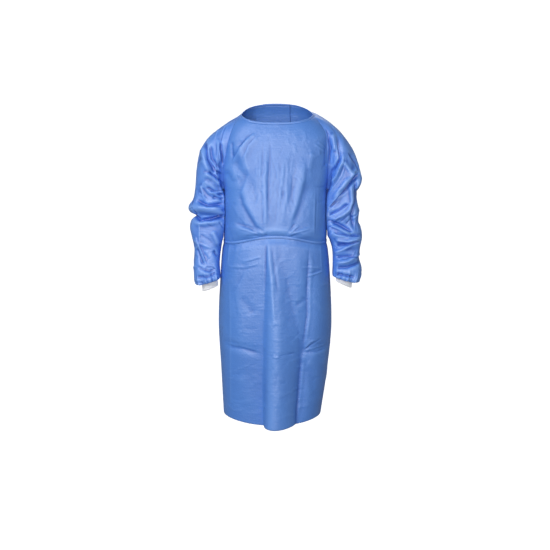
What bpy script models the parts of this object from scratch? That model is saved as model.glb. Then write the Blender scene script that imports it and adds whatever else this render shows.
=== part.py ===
"""Worn surgical gown of blue nonwoven cloth, hollow, open at neck, cuffs, hem and centre back.

Metres, +Z up. The front faces -Y and the wearer's right arm is on -X. The origin lies in the
middle of the neck opening, level with the points where the shoulders meet the neck.

The cloth follows one body form. A closed line runs round it at every level, from the neck edge
(level 0) by the underarm (level 1) and the waist tie (level 2) to the hem (level 4), and an angle
gives the place on that line: 0 at centre front, 90 at the wearer's left side, 180 at centre back.
"""

import math
from collections import namedtuple

import bpy
import numpy as np

# Cloth and seams
CLOTH_WALL = 0.0015
SEAM_GAP = 0.0004
KNIT_WALL = 0.0020

# How far the left back panel laps over the right one, each side of centre back
LAP_AT_NECK = 0.050
LAP_AT_HEM = 0.085
LAP_LIFT = 0.0030
LAP_RISE_FROM = 0.055
LAP_RISE_TO = 0.012

# Neck binding, and the tab that closes the neck where the left back panel ends
BINDING_WIDTH = 0.008
BINDING_STEPS = 2
BINDING_THICKNESS = 0.0025
BINDING_PROUD = 0.0005
TAB_ROWS = (1, 2)
TAB_SEWN = 0.030
TAB_LOOSE = 0.024
TAB_STEP_DOWN = 0.014
TAB_STEP_FROM = 0.001
TAB_THICKNESS = 0.0016
TAB_COLUMNS = 8

# Waist tie, its knot at centre back and its two hanging ends
TIE_THICKNESS = 0.0020
TIE_CROWN = 0.0006
TIE_SEAT = 0.0004
TIE_HALF_LEVEL = 0.024
# The tie rises onto the lapped panel just outside it, at this many times its angle
TIE_LAP_REACH = 1.01
KNOT_RADII = (0.0150, 0.0065, 0.0095)
KNOT_SQUARENESS = 0.55
KNOT_RINGS = 8
KNOT_SIDES = 16
KNOT_TURN_DOWN = 0.5
TIE_END_HALF_WIDTH = (0.0050, 0.0095)
TIE_END_OFF_PANEL = 0.0024
TIE_END_WAVE = 0.0030
TIE_END_STEPS = 14
# Shares of an end's length over which it spreads sideways, opens flat and settles on the panel
TIE_END_SPREAD = 1.2
TIE_END_OPENS = 0.35
TIE_END_SETTLES = 0.15

# Number of steps in each direction of the cloth
YOKE_STEPS = 12
TRUNK_STEPS = 5
SKIRT_STEPS = 14
FRONT_STEPS = 28
BACK_STEPS = 7
LAP_STEPS = 6
NECK_STRETCH_STEPS = 4
UNDERARM_LEVEL = 1.0
WAIST_LEVEL = 2.0
HEM_LEVEL = 4.0

# Share of the third harmonic that squares each closed line a little, and how much faster the
# line runs at centre back than a circle of its half width
SQUARENESS = 0.05
CENTRE_SPEED = (1 + 3 * SQUARENESS) / (1 - SQUARENESS)

# Steps in level and angle to which a direction is worked out, and samples of a line down the body
NORMAL_STEP = 0.004
NORMAL_TURN = 1.0
HEIGHT_SAMPLES = 400
SHARP_ANGLE = 50.0

# Creases fade out towards the neck, at the sides, and over the ends of their own length
NECK_FADE = 0.25
SIDE_FADE = 0.030
CREASE_END_OUT = 0.15
CREASE_END_IN = 0.25

Section = namedtuple("Section", "level right left front back front_z side_z back_z dip")
SECTIONS = [
    Section(0.00, 0.131, 0.143, 0.093, 0.085, -0.031, -0.001, 0.034, 2.0),
    Section(0.15, 0.156, 0.170, 0.102, 0.098, -0.062, -0.022, -0.002, 2.2),
    Section(0.35, 0.180, 0.199, 0.111, 0.108, -0.108, -0.068, -0.058, 2.6),
    Section(0.60, 0.193, 0.199, 0.120, 0.115, -0.165, -0.137, -0.130, 3.0),
    Section(0.80, 0.196, 0.197, 0.127, 0.118, -0.213, -0.200, -0.196, 3.0),
    Section(1.00, 0.189, 0.189, 0.132, 0.119, -0.268, -0.268, -0.268, 3.0),
    Section(1.50, 0.190, 0.190, 0.142, 0.117, -0.352, -0.364, -0.362, 6.0),
    Section(1.85, 0.191, 0.190, 0.145, 0.116, -0.404, -0.430, -0.428, 9.0),
    Section(2.00, 0.191, 0.188, 0.138, 0.112, -0.430, -0.457, -0.455, 9.0),
    Section(2.15, 0.197, 0.194, 0.148, 0.121, -0.462, -0.487, -0.486, 9.0),
    Section(2.50, 0.205, 0.203, 0.155, 0.138, -0.576, -0.590, -0.588, 6.0),
    Section(3.00, 0.213, 0.210, 0.156, 0.148, -0.754, -0.760, -0.758, 3.0),
    Section(3.50, 0.205, 0.196, 0.150, 0.150, -0.934, -0.934, -0.932, 3.0),
    Section(4.00, 0.197, 0.172, 0.146, 0.147, -1.127, -1.107, -1.108, 6.0),
]

# Angles of the raglan seams, which end the front panel and start a back panel, in degrees
RaglanSeam = namedtuple("RaglanSeam", "level front back")
RAGLAN_SEAMS = [
    RaglanSeam(0.00, 74.0, 128.0),
    RaglanSeam(0.15, 67.0, 134.0),
    RaglanSeam(0.35, 62.0, 128.0),
    RaglanSeam(0.60, 65.0, 117.0),
    RaglanSeam(0.80, 72.0, 103.0),
    RaglanSeam(1.00, 84.0, 84.0),
]

# Angles of the side seams below the underarm
SideSeam = namedtuple("SideSeam", "level angle")
SIDE_SEAMS = [
    SideSeam(1.00, 84.0),
    SideSeam(1.50, 77.0),
    SideSeam(2.00, 71.0),
    SideSeam(4.00, 70.0),
]

# The rounded fold down the middle of the skirt: its two feet, how far it stands out and hangs below
# the hem, and the power of its round, smaller where it is fuller
SkirtFold = namedtuple("SkirtFold", "z right_foot left_foot rise drop power")
SKIRT_FOLD = [
    SkirtFold(-0.436, -0.034, 0.006, 0.000, 0.000, 1.6),
    SkirtFold(-0.550, -0.036, 0.036, 0.008, 0.000, 1.6),
    SkirtFold(-0.650, -0.039, 0.056, 0.015, 0.000, 1.5),
    SkirtFold(-0.840, -0.043, 0.088, 0.027, 0.001, 1.3),
    SkirtFold(-1.000, -0.044, 0.083, 0.037, 0.003, 1.0),
    SkirtFold(-1.120, -0.044, 0.073, 0.046, 0.006, 0.65),
]

# Power of the share across the fold, below 1 because its crest lies nearer its right foot
FOLD_LEAN = 0.65

# Soft ridges (height above 0) and troughs (below 0), each along a line seen from its own side
Crease = namedtuple("Crease", "x_from z_from x_to z_to half_width height")
FRONT_CREASES = [
    Crease(-0.060, -0.150, -0.030, -0.400, 0.022, 0.0040),
    Crease(-0.028, -0.130, -0.022, -0.380, 0.016, -0.0030),
    Crease(0.030, -0.150, 0.016, -0.400, 0.020, 0.0035),
    Crease(0.075, -0.130, 0.036, -0.410, 0.022, -0.0030),
    Crease(-0.165, -0.120, -0.085, -0.260, 0.022, -0.0050),
    Crease(-0.130, -0.110, -0.105, -0.200, 0.018, 0.0040),
    Crease(0.160, -0.150, 0.120, -0.290, 0.024, -0.0035),
    Crease(-0.160, -0.395, -0.050, -0.432, 0.018, 0.0045),
    Crease(0.150, -0.400, 0.050, -0.436, 0.018, 0.0040),
    Crease(-0.150, -0.520, -0.120, -0.900, 0.035, 0.0040),
    Crease(0.122, -0.500, 0.110, -0.760, 0.022, -0.0050),
    Crease(0.105, -0.760, 0.080, -1.100, 0.022, -0.0060),
    Crease(0.150, -0.650, 0.130, -1.060, 0.030, 0.0045),
    Crease(-0.190, -0.818, -0.050, -0.850, 0.016, -0.0035),
    Crease(0.095, -0.848, 0.190, -0.828, 0.016, -0.0035),
]
BACK_CREASES = [
    Crease(-0.120, -0.060, -0.090, -0.300, 0.026, 0.0050),
    Crease(0.125, -0.070, 0.095, -0.320, 0.026, 0.0045),
    Crease(-0.150, -0.150, -0.100, -0.420, 0.024, -0.0045),
    Crease(0.150, -0.180, 0.110, -0.430, 0.024, -0.0040),
    Crease(-0.060, -0.340, -0.045, -0.445, 0.018, 0.0040),
    Crease(0.080, -0.330, 0.060, -0.445, 0.018, 0.0040),
    Crease(-0.115, -0.470, -0.140, -1.000, 0.034, 0.0100),
    Crease(0.120, -0.470, 0.130, -1.060, 0.036, 0.0090),
    Crease(-0.075, -0.480, -0.090, -1.090, 0.024, -0.0060),
    Crease(0.090, -0.560, 0.090, -1.100, 0.024, -0.0055),
    Crease(-0.180, -0.560, -0.175, -1.000, 0.026, -0.0050),
    Crease(0.180, -0.520, 0.165, -1.020, 0.026, -0.0050),
]

# Sleeve rings from the shoulder to the cuff seam. x runs outwards from the body's middle.
Ring = namedtuple("Ring", "outer_x outer_z inner_x inner_z centre_y half_depth")
LEFT_RINGS = [
    Ring(0.1700, -0.0090, 0.1930, -0.2700, 0.003, 0.066),
    Ring(0.1970, -0.0240, 0.1935, -0.2740, 0.003, 0.070),
    Ring(0.2260, -0.0480, 0.1900, -0.2800, 0.002, 0.073),
    Ring(0.2560, -0.0820, 0.1850, -0.2880, 0.000, 0.073),
    Ring(0.2840, -0.1240, 0.1790, -0.2970, -0.002, 0.071),
    Ring(0.3000, -0.1640, 0.1750, -0.3060, -0.005, 0.069),
    Ring(0.3090, -0.2000, 0.1730, -0.3160, -0.008, 0.066),
    Ring(0.3150, -0.2370, 0.1720, -0.3290, -0.011, 0.065),
    Ring(0.2990, -0.2770, 0.1720, -0.3460, -0.013, 0.060),
    Ring(0.3020, -0.3160, 0.1730, -0.3650, -0.015, 0.062),
    Ring(0.3070, -0.3480, 0.1760, -0.3870, -0.017, 0.060),
    Ring(0.3050, -0.3840, 0.1810, -0.4100, -0.020, 0.058),
    Ring(0.3160, -0.4170, 0.1880, -0.4330, -0.023, 0.060),
    Ring(0.3170, -0.4500, 0.2000, -0.4560, -0.027, 0.057),
    Ring(0.3090, -0.4860, 0.2070, -0.4800, -0.032, 0.054),
    Ring(0.3080, -0.5180, 0.2100, -0.5040, -0.038, 0.053),
    Ring(0.3160, -0.5480, 0.2100, -0.5270, -0.044, 0.053),
    Ring(0.3150, -0.5780, 0.2095, -0.5500, -0.050, 0.052),
    Ring(0.3080, -0.5960, 0.2085, -0.5680, -0.055, 0.050),
    Ring(0.3010, -0.6050, 0.2090, -0.5790, -0.058, 0.045),
    Ring(0.2935, -0.6060, 0.2120, -0.5830, -0.059, 0.039),
    Ring(0.2880, -0.5970, 0.2170, -0.5780, -0.060, 0.034),
    Ring(0.2860, -0.5830, 0.2210, -0.5640, -0.060, 0.031),
]
RIGHT_RINGS = [
    Ring(0.1520, -0.0150, 0.1930, -0.2700, 0.003, 0.066),
    Ring(0.1800, -0.0300, 0.1935, -0.2740, 0.003, 0.070),
    Ring(0.2140, -0.0530, 0.1900, -0.2800, 0.002, 0.073),
    Ring(0.2470, -0.0810, 0.1850, -0.2880, 0.000, 0.073),
    Ring(0.2710, -0.1180, 0.1790, -0.2970, -0.002, 0.071),
    Ring(0.2850, -0.1660, 0.1750, -0.3070, -0.005, 0.069),
    Ring(0.2910, -0.2160, 0.1730, -0.3170, -0.008, 0.066),
    Ring(0.2950, -0.2640, 0.1720, -0.3290, -0.011, 0.063),
    Ring(0.3030, -0.3040, 0.1720, -0.3410, -0.013, 0.063),
    Ring(0.3200, -0.3310, 0.1720, -0.3520, -0.014, 0.066),
    Ring(0.3160, -0.3500, 0.1720, -0.3640, -0.015, 0.062),
    Ring(0.2920, -0.3630, 0.1730, -0.3760, -0.016, 0.057),
    Ring(0.3090, -0.3790, 0.1750, -0.3890, -0.018, 0.062),
    Ring(0.3150, -0.4050, 0.1790, -0.4080, -0.021, 0.061),
    Ring(0.3080, -0.4400, 0.1880, -0.4370, -0.026, 0.058),
    Ring(0.2990, -0.4800, 0.1980, -0.4710, -0.032, 0.054),
    Ring(0.3000, -0.5200, 0.2030, -0.5060, -0.039, 0.052),
    Ring(0.3010, -0.5560, 0.2050, -0.5380, -0.046, 0.051),
    Ring(0.2990, -0.5900, 0.2030, -0.5670, -0.053, 0.050),
    Ring(0.2940, -0.6070, 0.2015, -0.5810, -0.057, 0.048),
    Ring(0.2870, -0.6150, 0.2035, -0.5900, -0.059, 0.043),
    Ring(0.2805, -0.6130, 0.2075, -0.5920, -0.060, 0.038),
    Ring(0.2770, -0.6030, 0.2115, -0.5840, -0.060, 0.034),
    Ring(0.2755, -0.5880, 0.2135, -0.5700, -0.060, 0.031),
]
# How far each of the first rings has turned from the armhole's outline to a tube's
ROUNDING = (0.08, 0.28, 0.55, 0.80)
FORWARD_AT_ARMHOLE = 0.3
RING_SQUARENESS = 0.06
# Least height of the first rings over the body below the arm, over a share of the armhole
LIFT_OFF = (0.006, 0.008, 0.008)
LIFT_OFF_SHARE = 0.6
# The tube is pressed flat against the body's side, at this distance and below this height
SIDE_CLEARANCE = 0.0032
CLEAR_BELOW = -0.272
CLEAR_PASSES = 3
ARMHOLE_HALF_DEPTH = 0.064
NECK_HALF_ANGLE = 28.0

# Sleeve folds: ring number and angle from the outer side towards the front, at both ends
SleeveFold = namedtuple("SleeveFold", "ring_from angle_from ring_to angle_to half_width height")
LEFT_FOLDS = [
    SleeveFold(5.0, 20.0, 10.0, 120.0, 0.016, -0.0070),
    SleeveFold(6.0, 50.0, 9.0, 125.0, 0.014, 0.0050),
    SleeveFold(6.0, 15.0, 10.0, 60.0, 0.014, 0.0050),
    SleeveFold(11.0, 130.0, 13.0, 30.0, 0.015, -0.0060),
    SleeveFold(12.0, 150.0, 15.0, 20.0, 0.015, 0.0060),
    SleeveFold(14.0, 120.0, 16.0, 10.0, 0.014, -0.0050),
    SleeveFold(7.0, 250.0, 10.0, 330.0, 0.018, -0.0060),
    SleeveFold(12.0, 220.0, 15.0, 320.0, 0.018, 0.0060),
]
RIGHT_FOLDS = [
    SleeveFold(3.0, 60.0, 8.0, 150.0, 0.016, -0.0060),
    SleeveFold(4.0, 40.0, 7.0, 70.0, 0.016, 0.0040),
    SleeveFold(8.0, 30.0, 8.5, 150.0, 0.014, -0.0050),
    SleeveFold(9.5, 20.0, 10.0, 160.0, 0.014, 0.0050),
    SleeveFold(11.0, 10.0, 11.5, 165.0, 0.014, -0.0075),
    SleeveFold(16.0, 60.0, 19.0, 130.0, 0.015, -0.0050),
    SleeveFold(8.0, 210.0, 10.0, 330.0, 0.018, 0.0060),
    SleeveFold(11.0, 200.0, 12.0, 340.0, 0.016, -0.0070),
]
FOLD_RADIUS = 0.060
FOLD_SHARE_AT_ARMHOLE = (0.0, 0.3, 0.7)
# Folds fade over the inner side, which lies against the body, between these cosines
INNER_SIDE = (0.55, 0.90)
GATHER_WAVES = 9
GATHER_HEIGHT = 0.0028
GATHER_TOP = 6.0
GATHER_FULL = 3.5
GATHER_END = 2.0

# The tie's hanging ends, seen from behind: where each leaves the knot and where it ends
TieEnd = namedtuple("TieEnd", "name x_from x_to length")
TIE_ENDS = [
    TieEnd("tie_end_right", -0.0068, -0.0420, 0.235),
    TieEnd("tie_end_left", 0.0068, 0.0350, 0.205),
]

# Knitted cuffs below the seam, a little narrower than the sleeve's end
Cuff = namedtuple("Cuff", "outer_x outer_z inner_x inner_z centre_y half_depth")
LEFT_CUFF_EDGE = Cuff(0.2795, -0.6260, 0.2210, -0.6000, -0.064, 0.027)
RIGHT_CUFF_EDGE = Cuff(0.2690, -0.6390, 0.2105, -0.6170, -0.066, 0.027)
CUFF_STEPS = 4
CUFF_TUCK = 0.02

# Finishes: colour, roughness, metallic
Finish = namedtuple("Finish", "name colour roughness metallic")
CLOTH_FINISH = Finish("blue_nonwoven", (0.110, 0.275, 0.700), 0.62, 0.0)
SLEEVE_FINISH = Finish("blue_nonwoven_sleeve", (0.125, 0.300, 0.760), 0.60, 0.0)
TIE_FINISH = Finish("blue_nonwoven_tie", (0.105, 0.265, 0.690), 0.65, 0.0)
KNIT_FINISH = Finish("white_rib_knit", (0.860, 0.860, 0.890), 0.90, 0.0)


def clear_scene():
    """Removes every object that the startup file holds."""
    for item in list(bpy.data.objects):
        bpy.data.objects.remove(item, do_unlink=True)


def slopes(keys, values):
    """Slopes at the table's rows that keep the curve between them free of overshoot."""
    spans = np.diff(keys)
    rises = np.diff(values) / spans
    result = np.zeros(len(keys))
    result[0], result[-1] = rises[0], rises[-1]
    for i in range(1, len(keys) - 1):
        if rises[i - 1] * rises[i] > 0.0:
            before = 2.0 * spans[i] + spans[i - 1]
            after = spans[i] + 2.0 * spans[i - 1]
            result[i] = (before + after) / (before / rises[i - 1] + after / rises[i])
    return result


def smooth(table, column, key):
    """Reads a column of a table at any key, on a smooth curve through its rows."""
    keys = np.array([row[0] for row in table])
    values = np.array([getattr(row, column) for row in table])
    grades = slopes(keys, values)
    key = np.clip(key, keys[0], keys[-1])
    i = np.clip(np.searchsorted(keys, key, side="right") - 1, 0, len(keys) - 2)
    span = keys[i + 1] - keys[i]
    f = (key - keys[i]) / span
    start = (1 + 2 * f) * (1 - f) ** 2 * values[i] + f * (1 - f) ** 2 * span * grades[i]
    end = f * f * (3 - 2 * f) * values[i + 1] + f * f * (f - 1) * span * grades[i + 1]
    return start + end


def ease(low, high, value):
    """A soft step from 0 at low to 1 at high."""
    f = np.clip((value - low) / (high - low), 0.0, 1.0)
    return f * f * (3.0 - 2.0 * f)


def fade_ends(f):
    """Strength of a crease at a share f of its length, fading over both ends."""
    rise = ease(-CREASE_END_OUT, CREASE_END_IN, f)
    return rise * ease(1.0 + CREASE_END_OUT, 1.0 - CREASE_END_IN, f)


def unit(vectors):
    """Vectors of length 1 along the last axis."""
    return vectors / np.linalg.norm(vectors, axis=-1, keepdims=True)


def plain_form(level, angle):
    """Point of the body form without folds, at a level and an angle in degrees."""
    turn = np.radians(angle)
    across = (np.sin(turn) + SQUARENESS * np.sin(3 * turn)) / (1 - SQUARENESS)
    ahead = (np.cos(turn) - SQUARENESS * np.cos(3 * turn)) / (1 - SQUARENESS)
    half = np.where(across > 0, smooth(SECTIONS, "left", level), smooth(SECTIONS, "right", level))
    in_front = ahead > 0
    depth = np.where(in_front, smooth(SECTIONS, "front", level), smooth(SECTIONS, "back", level))
    end_z = np.where(in_front, smooth(SECTIONS, "front_z", level), smooth(SECTIONS, "back_z", level))
    side_z = smooth(SECTIONS, "side_z", level)
    share = np.abs(ahead) ** smooth(SECTIONS, "dip", level)
    z = side_z + (end_z - side_z) * share
    return np.stack([half * across, -depth * ahead, z], axis=-1)


def level_at(z, angle):
    """Level of a height below the underarm, on the line down the body at an angle."""
    levels = np.linspace(UNDERARM_LEVEL, HEM_LEVEL, HEIGHT_SAMPLES)
    return np.interp(-z, -plain_form(levels, angle)[:, 2], levels)


def crease_height(creases, x, z):
    """Height of all soft ridges and troughs at a place seen from the front or the back."""
    total = np.zeros_like(x)
    for row in creases:
        along = np.array([row.x_to - row.x_from, row.z_to - row.z_from])
        length = np.hypot(*along)
        f = ((x - row.x_from) * along[0] + (z - row.z_from) * along[1]) / length**2
        off = ((x - row.x_from) * along[1] - (z - row.z_from) * along[0]) / length
        total = total + row.height * fade_ends(f) * np.exp(-((off / row.half_width) ** 2))
    return total


def skirt_fold(point):
    """How far the middle fold stands out of the skirt and hangs below its hem at a point."""
    x, z = point[..., 0], point[..., 2]
    right, left = smooth_z("right_foot", z), smooth_z("left_foot", z)
    f = np.clip((x - right) / (left - right), 0.0, 1.0)
    bump = np.sin(np.pi * f**FOLD_LEAN) ** smooth_z("power", z)
    bump = bump * (point[..., 1] < 0) * (z < SKIRT_FOLD[0].z)
    return smooth_z("rise", z) * bump, smooth_z("drop", z) * bump


def smooth_z(column, z):
    """Reads a column of the skirt fold's table at a height."""
    rising = [row._replace(z=-row.z) for row in SKIRT_FOLD]
    return smooth(rising, column, -z)


def form(level, angle):
    """Point of the body form with its folds, at levels and angles given as arrays."""
    level, angle = np.broadcast_arrays(np.asarray(level, float), np.asarray(angle, float))
    point = plain_form(level, angle)
    normal = form_normal(plain_form, level, angle)
    ahead = ease(0.0, SIDE_FADE, -point[..., 1])
    behind = ease(0.0, SIDE_FADE, point[..., 1])
    height = ahead * crease_height(FRONT_CREASES, point[..., 0], point[..., 2])
    height = height + behind * crease_height(BACK_CREASES, point[..., 0], point[..., 2])
    height = height * ease(0.0, NECK_FADE, level)
    rise, drop = skirt_fold(point)
    moved = point + normal * height[..., None]
    moved[..., 1] -= rise
    moved[..., 2] -= drop
    return moved


def form_normal(surface, level, angle):
    """Outward directions of a surface of level and angle."""
    above = np.clip(level - NORMAL_STEP, 0, HEM_LEVEL)
    below = np.clip(level + NORMAL_STEP, 0, HEM_LEVEL)
    down = surface(below, angle) - surface(above, angle)
    around = surface(level, angle + NORMAL_TURN) - surface(level, angle - NORMAL_TURN)
    return unit(np.cross(down, around))


def cloth_levels():
    """Levels of the rows of every body panel, with one row at each edge of the waist tie."""
    tie_top, tie_bottom = WAIST_LEVEL - TIE_HALF_LEVEL, WAIST_LEVEL + TIE_HALF_LEVEL
    yoke = np.linspace(0.0, UNDERARM_LEVEL, YOKE_STEPS + 1)
    trunk = np.linspace(UNDERARM_LEVEL, tie_top, TRUNK_STEPS + 1)[1:]
    skirt = np.linspace(tie_bottom, HEM_LEVEL, SKIRT_STEPS + 1)
    return np.concatenate([yoke, trunk, skirt])


def front_edge(level):
    """Angle where the front panel ends at a level."""
    yoke = smooth(RAGLAN_SEAMS, "front", level)
    return np.where(level < UNDERARM_LEVEL, yoke, smooth(SIDE_SEAMS, "angle", level))


def back_edge(level):
    """Angle where a back panel starts at a level."""
    yoke = smooth(RAGLAN_SEAMS, "back", level)
    return np.where(level < UNDERARM_LEVEL, yoke, smooth(SIDE_SEAMS, "angle", level))


def lap_angle(level):
    """Angle past centre back that a back panel reaches at a level."""
    lap = LAP_AT_NECK + (LAP_AT_HEM - LAP_AT_NECK) * level / HEM_LEVEL
    return np.degrees(lap / (smooth(SECTIONS, "right", level) * CENTRE_SPEED))


def angle_behind(level, x):
    """Angle of a place on the back, given how far to the left of centre it lies."""
    return 180.0 - np.degrees(x / (smooth(SECTIONS, "right", level) * CENTRE_SPEED))


def lap_lift(level, angle):
    """How far the left back panel stands off the right one that it covers."""
    past = np.radians(angle - 180.0) * smooth(SECTIONS, "right", level)
    lap = np.radians(lap_angle(level)) * smooth(SECTIONS, "right", level)
    return LAP_LIFT * ease(-lap - LAP_RISE_FROM, -lap - LAP_RISE_TO, past)


def pull_in(points, axis, last):
    """Draws an edge of a grid back by half a seam gap, square to the edge."""
    grid = points.copy()
    edge, next_to = (-1, -2) if last else (0, 1)
    view = np.moveaxis(grid, axis, 0)
    along = unit(np.gradient(view[edge], axis=0))
    back = view[next_to] - view[edge]
    back = back - along * np.sum(back * along, axis=-1, keepdims=True)
    view[edge] += unit(back) * SEAM_GAP / 2
    return grid


def make_wall(name, outer, inward, closed, finish):
    """Makes one closed wall from a grid of outer points and the way to its inner points."""
    rows, columns = outer.shape[:2]
    count = rows * columns
    points = np.concatenate([outer.reshape(-1, 3), (outer + inward).reshape(-1, 3)])
    faces = []
    spans = columns if closed else columns - 1
    for i in range(rows - 1):
        for j in range(spans):
            a, b = i * columns + j, i * columns + (j + 1) % columns
            c, d = b + columns, a + columns
            short = np.linalg.norm(points[a] - points[c]) < np.linalg.norm(points[b] - points[d])
            halves = ((a, b, c), (a, c, d)) if short else ((a, b, d), (b, c, d))
            for half in halves:
                faces.append(half)
                faces.append(tuple(count + k for k in reversed(half)))
    rims = []
    for j in range(spans):
        a, b = j, (j + 1) % columns
        rims.append((b, a))
        rims.append((a + count - columns, b + count - columns))
    if not closed:
        for i in range(rows - 1):
            a, b = i * columns, (i + 1) * columns
            rims.append((a, b))
            rims.append((b + columns - 1, a + columns - 1))
    for a, b in rims:
        if points[a][2] > points[b][2]:
            faces.extend([(a, b, count + b), (a, count + b, count + a)])
        else:
            faces.extend([(a, b, count + a), (b, count + b, count + a)])
    return make_object(name, points, faces, finish)


def signed_volume(points, faces):
    """Volume inside a closed mesh, negative where its faces point inwards."""
    total = 0.0
    for face in faces:
        first = points[face[0]]
        for i in range(1, len(face) - 1):
            total += np.dot(first, np.cross(points[face[i]], points[face[i + 1]]))
    return total / 6.0


def make_object(name, points, faces, finish):
    """Makes a smooth-shaded object of a closed mesh, its faces turned outwards."""
    if signed_volume(points, faces) < 0.0:
        faces = [tuple(reversed(face)) for face in faces]
    mesh = bpy.data.meshes.new(name)
    mesh.from_pydata([tuple(p) for p in points], [], faces)
    mesh.update()
    mesh.shade_smooth()
    mesh.set_sharp_from_angle(angle=math.radians(SHARP_ANGLE))
    mesh.materials.append(make_material(finish))
    item = bpy.data.objects.new(name, mesh)
    bpy.context.scene.collection.objects.link(item)
    return item


def make_material(finish):
    """The Principled material of a finish, made once."""
    material = bpy.data.materials.get(finish.name)
    if material is None:
        material = bpy.data.materials.new(finish.name)
        material.use_nodes = True
        shader = material.node_tree.nodes["Principled BSDF"]
        shader.inputs["Base Color"].default_value = (*finish.colour, 1.0)
        shader.inputs["Roughness"].default_value = finish.roughness
        shader.inputs["Metallic"].default_value = finish.metallic
    return material


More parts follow.
